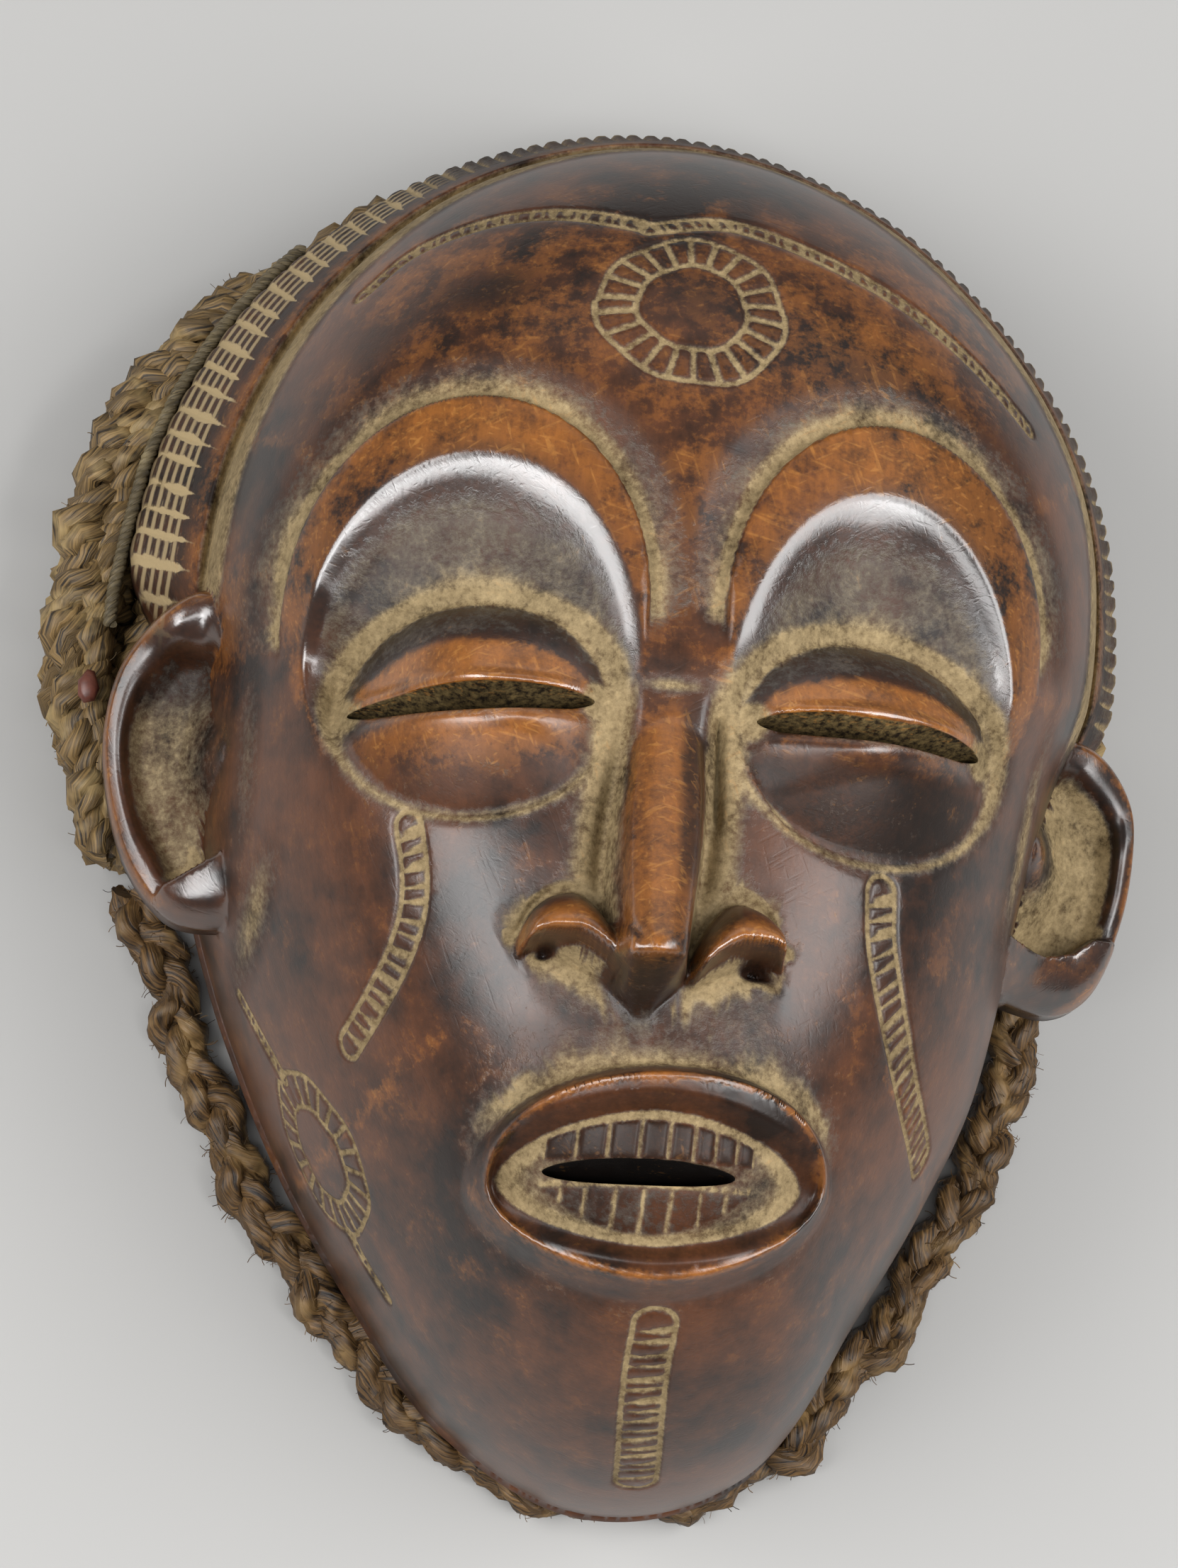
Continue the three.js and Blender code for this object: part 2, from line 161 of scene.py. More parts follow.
def plainHeight(x, y):
    m = head["muzzle"]
    return domeHeight(x, y) + m["rise"] * bell(ovalOf(x, y, m)[2])


# Each socket is scooped from the arc of the brow down to the ring round the eye
brows = [{"x": -36.0, "y": 17.5, "rx": 31.0, "ry": 36.8,
          "socket": {"x": -35.8, "y": 14.9, "rx": 31.4, "ry": 39.6}},
         {"x": 38.0, "y": 17.5, "rx": 29.4, "ry": 36.5,
          "socket": {"x": 37.6, "y": 12.8, "rx": 29.8, "ry": 41.4}}]
browCut = {"depth": 2.4, "spread": 7, "from": -14, "to": 194, "fade": 14}
eyes = [{"x": -33.6, "y": -2.0, "rx": 22.6, "ry": 19.3, "tilt": 2,
         "slit": {"x": -34.2, "y": -1.7, "half": 20.6, "high": 5.2, "tilt": 1.5, "lid": 10.6}},
        {"x": 35.0, "y": -5.2, "rx": 23.6, "ry": 19.6, "tilt": -6,
         "slit": {"x": 35.2, "y": -3.1, "half": 20.8, "high": 5.2, "tilt": -1, "lid": 9.4}}]
socket = {"ring": 1.06, "middle": 9.2, "shallowBelow": 0.8, "lip": 2.2, "crescent": (2, 6.5), "easing": 6,
          "first": (0.62, 0.96), "top": (92, 42),
          # by direction from the eye, 0 towards the nose, 90 up, 180 towards the temple
          "crest": ([0, 20, 36, 51, 67, 81, 95, 118, 132, 147, 162, 200, 240],
                    [[1, 2, 4.6, 7.4, 10, 12.6, 13.6, 10.5, 8.2, 6, 5, 4.6, 2],
                     [1, 2, 4.6, 8, 12, 15, 16, 14, 11.6, 8.6, 6.8, 5, 1]]),
          "slope": ([0, 36, 60, 78, 95, 120, 145, 180, 240],
                    [[0.5, 0.54, 0.66, 0.8, 0.84, 0.92, 1.4, 1.84, 1.2],
                     [0.5, 0.54, 0.66, 0.8, 0.84, 0.9, 1.1, 1.3, 0.9]]),
          "rest": ([0, 50, 95, 150, 180], [0.4, 0.3, 0.2, 0.5, 0.66])}
eye = {"bulge": 10.2, "apex": 0.13, "roundness": 2.0, "roundnessBelow": 1.65, "ring": 0.8,
       "ringBelow": 0.2, "ringWidth": 2.4, "lid": 1.3, "belly": 4.4, "lidWorn": (0.9, 0.34),
       "lidDark": (0.3, 0.95)}


# Distance outside the arc of a brow in mm, its direction, and the place up and down on it
def browPlace(x, y, b):
    u, v, e = ovalOf(x, y, b)
    out = (e - 1) * np.hypot(u, v) / np.maximum(e, 1e-6)
    return out, (np.degrees(np.arctan2(v / b["ry"], u / b["rx"])) + 90) % 360 - 90, v


# Distance in from the brow along a line to the eye, the whole way to the ring of the eye, the
# direction, how far within the ring a point is, and how far in the brow rolls over
def socketPlace(x, y, b, o):
    u, v, e = ovalOf(x, y, o)
    r = np.maximum(1e-6, np.hypot(u, v))
    ringRadius = socket["ring"] * r / np.maximum(e, 1e-6)
    form = b["socket"]
    px, py = (o["x"] - form["x"]) / form["rx"], (o["y"] - form["y"]) / form["ry"]
    wx, wy = (x - o["x"]) / r / form["rx"], (y - o["y"]) / r / form["ry"]
    a, c = wx * wx + wy * wy, px * wx + py * wy
    far = (np.sqrt(c * c - a * (px * px + py * py - 1)) - c) / a
    turn = np.degrees(np.arctan2(y - o["y"], (x - o["x"]) * (1 if o["x"] < 0 else -1)))
    turn = np.where(turn < -60, turn + 360, turn)
    crest = dial(turn, socket["crest"], 0 if o["x"] < 0 else 1)
    return far - r, np.maximum(0.5, far - ringRadius), turn, np.minimum(1, r / ringRadius), crest


# A value read from a table by direction, with its corners smoothed
def dial(turn, table, which=None):
    steps = np.arange(-60, 301)
    kernel = bell(np.arange(-32, 33) / 13)
    values = table[1] if which is None else table[1][which]
    values = np.pad(np.interp(steps, table[0], values), 32, mode="edge")
    return np.interp(turn, steps, np.convolve(values, kernel / kernel.sum(), "valid"))


# Height of a slope that sets in between two places
def ramp(start, end, v):
    t = np.clip((v - start) / (end - start), 0, 1)
    return (end - start) * (t ** 3 - t ** 4 / 2) + np.maximum(0, v - end)


# The brow rolls over into the socket in a short lip, gets steeper across the crescent, and eases off
def socketDepth(x, y, b, o):
    inward, width, turn, within, crest = socketPlace(x, y, b, o)
    slope = dial(turn, socket["slope"], 0 if o["x"] < 0 else 1)
    rest = dial(turn, socket["rest"])
    top = bell((turn - socket["top"][0]) / socket["top"][1])
    way = np.clip(inward, 0, width)
    wide, first = mix(*socket["crescent"], top), mix(*socket["first"], ease(105, 150, turn))
    depth = first * ramp(crest - socket["lip"], crest, way) + (1 - first) * ramp(crest, crest + wide, way)
    depth = slope * (depth - (1 - rest) * ramp(crest + wide, crest + wide + socket["easing"], way))
    depth = depth * (1 - socket["shallowBelow"] * ease(0, 36, np.abs(turn - 95) - 95))
    return mix(socket["middle"], depth, within ** 2) * ease(0, 0.01, inward)


def brows3d(x, y):
    drop = np.zeros_like(x)
    for b, o in zip(brows, eyes):
        out, deg, _ = browPlace(x, y, b)
        fade = ease(browCut["from"], browCut["from"] + browCut["fade"], deg)
        fade = fade * (1 - ease(browCut["to"] - browCut["fade"], browCut["to"], deg))
        cut = browCut["depth"] * fade * bell(np.maximum(out, 0) / browCut["spread"])
        drop = drop + cut * ease(-0.35, 0.35, out) + socketDepth(x, y, b, o)
    return drop


def slitOf(x, y, form):
    u, v = placeOn(x, y, form)
    return u, v, np.sqrt(np.maximum(0, 1 - (u / form["half"]) ** 2))


# The eyeball is highest just over its middle, at the edge of the upper lid, and falls away evenly below
def eyes3d(x, y):
    rise = np.zeros_like(x)
    for o in eyes:
        u, v, e = ovalOf(x, y, o)
        a, b, q = u / o["rx"], v / o["ry"] - eye["apex"], eye["apex"]
        share = (q * b + np.sqrt((q * b) ** 2 + (1 - q * q) * (a * a + b * b))) / (1 - q * q)
        roundness = mix(eye["roundnessBelow"], eye["roundness"], ease(-3, 4, v))
        rise = rise + eye["bulge"] * (1 - np.minimum(share, 1) ** roundness)
        ring = mix(eye["ringBelow"], eye["ring"], ease(-14, 4, v))
        rise = rise - ring * bell((e - 1.04) * o["rx"] / eye["ringWidth"])
        u, v, lens = slitOf(x, y, o["slit"])
        half = o["slit"]["high"] / 2
        rise = rise + eye["lid"] * lens * bell((v - half * lens - 0.7) / 1.3)
        rise = rise + 0.5 * eye["lid"] * lens * bell((v + half * lens + 1.4) / 2)
        low = np.where(v > -5, (v + 5) / 5.5, (v + 5) / 15)
        rise = rise + eye["belly"] * (1 - np.minimum(1, np.hypot(u / 22, low)) ** 1.9)
    return rise


nose = {"top": 2.5, "tip": -48, "topX": 0.1, "tipX": -3.7, "half": 4.7, "halfTip": 4.2, "swell": 1.2,
        "flank": 3.2, "flankTip": 4.2, "start": -3.5, "rise": 31, "under": 7.5, "roof": 2.1,
        # the crease over the bridge, and the deep knife slot at its right
        "crease": {"deep": 0.35, "wide": 1.1, "long": 7}, "slot": {"x": 8.4, "deep": 2.5, "wide": 0.55}}
wings = [{"x": -16.0, "y": -42.6, "half": 8.2, "side": -1,
          "foot": [(-25, -44.6), (-21, -46), (-10, -51.6), (-4, -54.5)],
          "hole": {"at": 0.46, "wide": 0.17, "up": -2.3, "tall": 0.9}},
         {"x": 12.2, "y": -43.0, "half": 7.8, "side": 1,
          "foot": [(0, -53.5), (8, -50.2), (15.8, -47.2), (20, -45.4)],
          "hole": {"at": 0.46, "wide": 0.34, "up": -3.2, "tall": 1.2}}]
wing = {"rise": 13.5, "tall": 8.2, "dropIn": 5.6, "dropOut": 2.2, "rim": 1.8, "rimShare": 0.26,
        "holeDeep": 6}


def noseLine(y):
    k = np.clip((nose["top"] - y) / (nose["top"] - nose["tip"]), 0, 1)
    half = mix(nose["half"], nose["halfTip"], k) + nose["swell"] * bell((k - 0.5) / 0.34)
    return k, mix(nose["topX"], nose["tipX"], k), half, mix(nose["flank"], nose["flankTip"], k)


def nose3d(x, y, z, plain):
    k, middle, half, flank = noseLine(y)
    below = np.maximum(0, nose["tip"] - y)
    narrow = 1 - 0.8 * ease(0, 8.5, below)
    half, flank = half * narrow, flank * narrow
    side = np.maximum(0, np.abs(x - middle) - half)
    rounded = nose["roof"] * ((x - middle) / half) ** 2 * (1 + ease(0, 5, below))
    ridge = head["height"] + nose["start"] + nose["rise"] * k - rounded
    drop = (ridge - plain - 2) * ease(-0.5, nose["under"], below) ** 0.75
    ridge = ridge - 1.2 * bell((y - nose["tip"] + 0.6) / 2.2) - drop
    body = mix(z - 2, ridge, 1 - ease(0, 1, side / flank) ** 0.92)
    along = ease(nose["top"] + 1, nose["top"] - 3, y) * (1 - ease(5.4, 9, below))
    z = mix(z, smoothMax(z, body, 0.8), along)
    crease, slot = nose["crease"], nose["slot"]
    deep = crease["deep"] * bell((y - nose["top"]) / crease["wide"])
    z = z - deep * bell((x - nose["topX"]) / crease["long"])
    valley = ease(nose["top"] + 2, nose["top"] - 6, y) * (1 - ease(-30, -38, y))
    z = z - 2.2 * valley * bell((np.abs(x - middle) - half - flank + 0.3) / 1.6)
    return z - slot["deep"] * bell((x - slot["x"]) / slot["wide"]) * ease(-1, -5, y) * ease(-24, -18, y)


# Each wing swells out from a crease to a crest and rolls under. From there a slanting plane, with
# the nostril in its outer end, goes back to a line along its foot
def wingOf(x, y, w):
    t = (x - w["x"]) / w["half"]
    inner, outer = np.clip(-t * w["side"], 0, 1.05), np.clip(t * w["side"], 0, 1.05)
    crest = w["y"] - wing["dropIn"] * inner ** 1.6 - wing["dropOut"] * outer ** 5
    tall = wing["tall"] * np.maximum(0.3, 1 - 0.5 * t * t)
    footX, footY = zip(*w["foot"])
    return t, y - crest, tall, np.maximum(1.6, crest - np.interp(x, footX, footY))


def nostrilOf(t, up, w):
    form = w["hole"]
    across = bell((t * w["side"] - form["at"]) / form["wide"])
    return across * bell((up - form["up"]) / form["tall"]) * ease(-0.7, -1.5, up)


def wings3d(x, y, z, plain):
    for w in wings:
        t, up, tall, under = wingOf(x, y, w)
        inside = ease(1.14, 0.84, np.abs(t))
        swell = np.clip(1 - (np.maximum(up, 0) / tall) ** 2, 0, 1) ** 0.75
        below = np.maximum(0, -up)
        rolled = wing["rimShare"] * ease(0, wing["rim"], below)
        slant = np.clip(1 - rolled - (1 - wing["rimShare"]) * below / under, 0, 1)
        lobe = plain - 2 + (wing["rise"] + 2.6) * swell * slant * inside
        near = ease(tall + 1.5, tall, up) * ease(-under - 2, -under + 0.3, up) * ease(1.3, 1.1, np.abs(t))
        sunk = 0.8 * near * ease(-0.5, -2, up) * ease(1.1, 0.9, np.abs(t))
        floor = mix(z, np.minimum(z, plain + 0.6), sunk)
        z = mix(z, smoothMax(floor, lobe, 0.7), near)
        z = z - 1.2 * bell((up - tall - 0.4) / 1.1) * ease(1.4, 1.0, np.abs(t))
        z = z - wing["holeDeep"] * nostrilOf(t, up, w)
    return z


mouth = {"x": 1.2, "y": -82.6, "rx": 28.3, "ry": 16.0, "tilt": 2, "upper": 2.2, "lower": 1.72,
         "rise": 9.0, "inside": 5.0, "flank": 3.6,
         "opening": {"x": 0.0, "y": -82.7, "rx": 25.4, "ry": 10.8},
         "slit": {"x": -2.4, "y": -81.9, "half": 16.0, "high": 4.3, "tilt": 0}}
teeth = {"upper": {"from": -79.9, "to": -73.6,
                   "gaps": [-18.5, -13.4, -8.4, -3.2, 1.6, 5.9, 9.6, 13.4, 16.6]},
         "lower": {"from": -84.6, "to": -91.8,
                   "gaps": [-19.0, -15.2, -11.2, -6.3, -1.7, 2.9, 7.9, 12.3, 16.8, 20.0]},
         "groove": 0.5, "upperRaise": 0.8, "lowerRaise": 0.35, "edge": 0.35, "ends": 0.6,
         "lean": 0.05, "arch": 0.011, "archBelow": 2.2}


def mouthOf(x, y):
    u, v, _ = ovalOf(x, y, mouth)
    p = np.where(v > 0, mouth["upper"], mouth["lower"])
    m = ((np.abs(u) / mouth["rx"]) ** p + (np.abs(v) / mouth["ry"]) ** p) ** (1 / p)
    # mm outside the crest of the lips
    out = (m - 1) * np.hypot(u, v) / np.maximum(m, 0.2)
    o = mouth["opening"]
    inner = (np.abs((x - o["x"]) / o["rx"]) ** 1.7 + np.abs((y - o["y"]) / o["ry"]) ** 1.7) ** (1 / 1.7)
    return out, inner


# Two rows of pads: how far a point is on a pad, and in a groove between two
def teethOf(x, y):
    pads, grooves = [], []
    for row in ("upper", "lower"):
        form = teeth[row]
        low, high = min(form["from"], form["to"]), max(form["from"], form["to"])
        # rows shorten towards the corners
        arch = teeth["arch"] * (x + 1) ** 2
        if row == "upper":
            high = high - arch
        else:
            low = low + teeth["archBelow"] * arch
        soft, ends = teeth["edge"], teeth["ends"]
        on = ease(low - soft, low + soft, y) * ease(high + soft, high - soft, y)
        first, last = form["gaps"][0], form["gaps"][-1]
        on = on * ease(first - ends, first, x) * ease(last + ends, last, x)
        gap = np.zeros_like(x)
        for g in form["gaps"]:
            gap = np.maximum(gap, bell((x - g - teeth["lean"] * (y - form["from"])) / teeth["groove"]))
        pads.append(on * (1 - gap))
        grooves.append(on * gap)
    return pads, grooves


def mouth3d(x, y):
    out, inner = mouthOf(x, y)
    rise = mouth["rise"] * ease(mouth["flank"], 0.1, out) - 0.8 * ease(0.3, -0.5, out)
    rise = rise - mouth["inside"] * ease(1.32, 0.95, inner) ** 0.9 * ease(0.3, -1.2, out)
    pads, grooves = teethOf(x, y)
    rise = rise + teeth["upperRaise"] * pads[0] + teeth["lowerRaise"] * pads[1]
    return rise - 0.3 * (grooves[0] + grooves[1])


# Lines of small pads between two grooves: x, y along the middle, in the wood's own millimetres
ladders = {
    "foreheadLeft": {"width": 3.4, "pitch": 2.3,
                     "line": [(-55.6, 81.4), (-46.5, 89.7), (-33.1, 94.3), (-20.7, 94.8), (-8, 92)]},
    "foreheadRight": {"width": 3.2, "pitch": 2.3,
                      "line": [(-6, 91), (5.9, 93.4), (15, 92.2), (28, 87.5), (42, 81), (55, 72),
                               (66, 62)]},
    "cheekLeft": {"width": 5.0, "pitch": 3.0,
                  "line": [(-43.9, -23.3), (-42.4, -31.2), (-42.3, -38.3), (-44, -45.1),
                           (-46.9, -51.7), (-50.6, -58.5)]},
    "cheekRight": {"width": 6.0, "pitch": 3.0,
                   "line": [(38.2, -30), (38.8, -38.4), (40.9, -46.4), (44.1, -55.2), (48, -63.6),
                            (53.3, -71.3)]},
    "arm": {"width": 2.4, "pitch": 2.6, "line": [(-60.5, -61), (-65, -53), (-69, -45.5)]},
    "tail": {"width": 2.2, "pitch": 2.8, "line": [(-46.5, -88), (-43, -93.5), (-39.3, -98.7)]},
    "chin": {"width": 7.4, "pitch": 3.2,
             "line": [(3.6, -105.2), (3.6, -112), (4.6, -120), (6.9, -129.3)]}}
# The hand wavers: amounts in mm along a line, and shares of a ring's radius
ladder = {"rail": 0.56, "rung": 0.55, "ringRung": 0.62, "depth": 0.55, "slant": 0.18,
          "waver": (0.35, 0.25), "unround": (0.03, 0.02)}
rings = {"forehead": {"x": 1.3, "y": 73.8, "inner": 9.8, "outer": 16.8, "rungs": 22, "along": (1, 0)},
         "cheekLeft": {"x": -53.2, "y": -74.6, "inner": 9.3, "outer": 15.8, "rungs": 21,
                       "along": (10, -17)}}


# Nearest point of a line that lies on the wood: run along it, and distance beside it with its sign
def alongLine(x, y, z, line):
    solid = np.column_stack([line, plainHeight(line[:, 0], line[:, 1])])
    best, run, across = np.full(x.shape, 1e9), np.zeros(x.shape), np.zeros(x.shape)
    start = 0.0
    for a, b in zip(solid[:-1], solid[1:]):
        length = np.linalg.norm(b - a)
        way = (b - a) / length
        t = np.clip((x - a[0]) * way[0] + (y - a[1]) * way[1] + (z - a[2]) * way[2], 0, length)
        dx, dy, dz = x - a[0] - t * way[0], y - a[1] - t * way[1], z - a[2] - t * way[2]
        d = np.sqrt(dx * dx + dy * dy + dz * dz)
        near = d < best
        best = np.where(near, d, best)
        run = np.where(near, start + t, run)
        across = np.where(near, np.sign(dy * way[0] - dx * way[1]) * d, across)
        start += length
    return run, across, best


def smoothLine(line, steps):
    p = np.array(line, float)
    p = np.vstack([2 * p[0] - p[1], p, 2 * p[-1] - p[-2]])
    shares = np.linspace(0, 1, steps, endpoint=False)
    out = [spline(*four, t) for four in zip(p[:-3], p[1:-2], p[2:-1], p[3:]) for t in shares]
    return np.vstack([out, p[-2]])


# Depth of the incised lines, and the pads between them, 0 to 1
def scars(x, y, z):
    cut, pad = np.zeros_like(x), np.zeros_like(x)
    slow, quick = ladder["waver"]
    wide, narrow = ladder["unround"]
    for form in ladders.values():
        run, across, best = alongLine(x, y, z, smoothLine(form["line"], 6))
        half = form["width"] / 2
        inside = ease(half + 0.3, half, best)
        wander = slow * np.sin(run * 0.9 + form["pitch"] * 7) + quick * np.sin(run * 2.3)
        rails = bell((np.abs(across) - half) / ladder["rail"]) * ease(half + 1.2, half + 0.9, best)
        place = (run + wander + ladder["slant"] * across) / form["pitch"]
        wedge = ladder["rung"] * (1.25 + 0.5 * np.clip(across / half, -1, 1))
        rungs = bell((np.abs(place % 1 - 0.5)) * form["pitch"] / wedge) * inside
        cut = np.maximum(cut, np.maximum(rails, rungs))
        pad = np.maximum(pad, inside * (1 - rungs) * (1 - rails))
    for form in rings.values():
        dx, dy, dz = x - form["x"], y - form["y"], z - plainHeight(form["x"], form["y"])
        r = np.sqrt(dx * dx + dy * dy + dz * dz)
        way = np.array(form["along"]) / math.hypot(*form["along"])
        u, v = dx * way[0] + dy * way[1], dy * way[0] - dx * way[1]
        angle = np.arctan2(np.sign(v) * np.sqrt(np.maximum(0, r * r - u * u)), u)
        r = r * (1 + wide * np.sin(3 * angle + 1) + narrow * np.sin(7 * angle))
        rails = np.maximum(bell((r - form["inner"]) / ladder["rail"]),
                           bell((r - form["outer"]) / ladder["rail"]))
        between = ease(form["inner"] - 0.3, form["inner"], r) * ease(form["outer"] + 0.3, form["outer"], r)
        turn = (angle / (2 * math.pi) * form["rungs"]) % 1 - 0.5
        rungs = bell(np.abs(turn) * 2 * math.pi * r / form["rungs"] / ladder["ringRung"]) * between
        cut = np.maximum(cut, np.maximum(rails, rungs))
        pad = np.maximum(pad, between * (1 - rungs) * (1 - rails))
    return cut, pad


def carvedHeight(x, y):
    plain = plainHeight(x, y)
    z = plain - brows3d(x, y) + eyes3d(x, y)
    z = nose3d(x, y, z, plain)
    z = wings3d(x, y, z, plain)
    return z + mouth3d(x, y)


# Box blur twice, on a square grid
def blur(values, radius):
    for _ in range(2):
        for axis in (0, 1):
            padded = np.pad(values, [(radius + 1, radius) if k == axis else (0, 0) for k in (0, 1)],
                            mode="edge")
            total = np.cumsum(padded, axis=axis)
            high = np.take(total, range(2 * radius + 1, total.shape[axis]), axis=axis)
            low = np.take(total, range(0, total.shape[axis] - 2 * radius - 1), axis=axis)
            values = (high - low) / (2 * radius + 1)
    return values


def arcTable(radius, height):
    rho = 1 - np.linspace(1, 0, 4000) ** 2
    z = height * np.sqrt(np.maximum(0, 1 - rho ** head["fullness"]))
    length = np.concatenate([[0], np.cumsum(np.hypot(np.diff(rho * radius), np.diff(z)))])
    return length / length[-1], rho


# A square grid wrapped onto a disc: angle in degrees and share of the way out, for each point
def discGrid(rings):
    side = np.linspace(-1, 1, 2 * rings + 1)
    a, b = np.meshgrid(side, side)
    wide = np.abs(a) >= np.abs(b)
    share = np.maximum(np.abs(a), np.abs(b))
    safeA, safeB = np.where(a == 0, 1, a), np.where(b == 0, 1, b)
    angle = np.where(wide, 45 * b / safeA + np.where(a < 0, 180, 0),
                     90 - 45 * a / safeB + np.where(b < 0, 180, 0))
    return angle % 360, share


# Indices round the edge of a square grid, anticlockwise from the lower left corner
def edgeOf(count):
    last = count - 1
    bottom = list(range(last))
    right = [k * count + last for k in range(last)]
    top = [last * count + k for k in range(last, 0, -1)]
    left = [k * count for k in range(last, 0, -1)]
    return np.array(bottom + right + top + left)


def gridFaces(count):
    i = np.arange(count - 1)
    row, col = np.meshgrid(i, i, indexing="ij")
    a = row * count + col
    return np.stack([a, a + 1, a + count + 1, a + count], -1).reshape(-1, 4)


def newMesh(name, points, faces, tris=None):
    mesh = bpy.data.meshes.new(name)
    quads = np.asarray(faces, np.int32)
    loops = quads.reshape(-1)
    counts = np.full(len(quads), 4, np.int32)
    if tris is not None:
        loops = np.concatenate([loops, np.asarray(tris, np.int32).reshape(-1)])
        counts = np.concatenate([counts, np.full(len(tris), 3, np.int32)])
    mesh.vertices.add(len(points))
    mesh.vertices.foreach_set("co", np.asarray(points, np.float32).reshape(-1))
    mesh.loops.add(len(loops))
    mesh.loops.foreach_set("vertex_index", loops)
    mesh.polygons.add(len(counts))
    mesh.polygons.foreach_set("loop_start", np.concatenate([[0], np.cumsum(counts)[:-1]]).astype(np.int32))
    mesh.update(calc_edges=True)
    mesh.validate()
    piece = bpy.data.objects.new(name, mesh)
    bpy.context.collection.objects.link(piece)
    return piece


# Points round the pole of the head
def polar(deg, r, z):
    turn = np.radians(deg)
    return np.stack([head["pole"][0] + r * np.cos(turn), head["pole"][1] + r * np.sin(turn), z + 0 * r], -1)


def rimRadius(deg):
    return headRadius(deg) + np.maximum(0.8, bandWidth(deg) * bandWeight(deg))


# Notches of the hair band: wedge bars across it, and fine lines along it between them
notch = {"pitch": 4.7, "pitchFine": 3.3, "bar": 1.5, "barDepth": 1.2, "barDepthLeft": 0.6,
         "line": 1.3, "lineDepth": 0.3, "from": 0.34}


# Bars of the band counted from the right along its edge
def barRun(deg):
    table = np.linspace(0, 360, 1441)
    r = rimRadius(table) * np.pi / 180
    step = r * 0.25 / mix(notch["pitchFine"], notch["pitch"], ease(100, 116, table))
    run = np.interp(deg, table, np.concatenate([[0], np.cumsum((step[1:] + step[:-1]) / 2)]))
    return run + 0.07 * np.sin(run * 2.1)


def bandRelief(deg, s):
    run = barRun(deg)
    left = ease(100, 116, deg)
    pitch = mix(notch["pitchFine"], notch["pitch"], left)
    phase = np.abs(run % 1 - 0.5) * pitch
    reach = np.clip((s - notch["from"]) / 0.2, 0, 1)
    wide = notch["bar"] * mix(0.6, 1, left) * (0.2 + 0.8 * reach) * 0.62
    bars = bell(phase / wide) * ease(0, 0.25, reach)
    acrossMm = s * np.maximum(1, bandWidth(deg)) * 1.7 + 0.2 * np.sin(run * 9)
    lines = bell((np.abs((acrossMm / notch["line"]) % 1 - 0.5)) * notch["line"] / 0.3)
    lines = lines * ease(0.36, 0.42, s) * ease(0.99, 0.95, s)
    weight = bandWeight(deg)
    cut = np.maximum(bars * mix(notch["barDepth"], notch["barDepthLeft"], left), lines * notch["lineDepth"])
    return cut * weight, np.maximum(bars, 0.62 * lines) * weight


# Where a point of the wood lies on the band: bars along it, share across it, and how surely it is
# on its left part
def strapPlace(co):
    x, y = co[:, 0] - head["pole"][0], co[:, 1] - head["pole"][1]
    deg, r = np.degrees(np.arctan2(y, x)) % 360, np.hypot(x, y)
    s = (r + 0.3 - headRadius(deg)) / np.maximum(1, bandWidth(deg))
    on = bandWeight(deg) * ease(104, 112, deg) * ease(0.31, 0.36, s) * ease(1.15, 1.05, s)
    return np.stack([barRun(deg), s, np.clip(on * ease(6, 10, co[:, 2]), 0, 1)], -1)


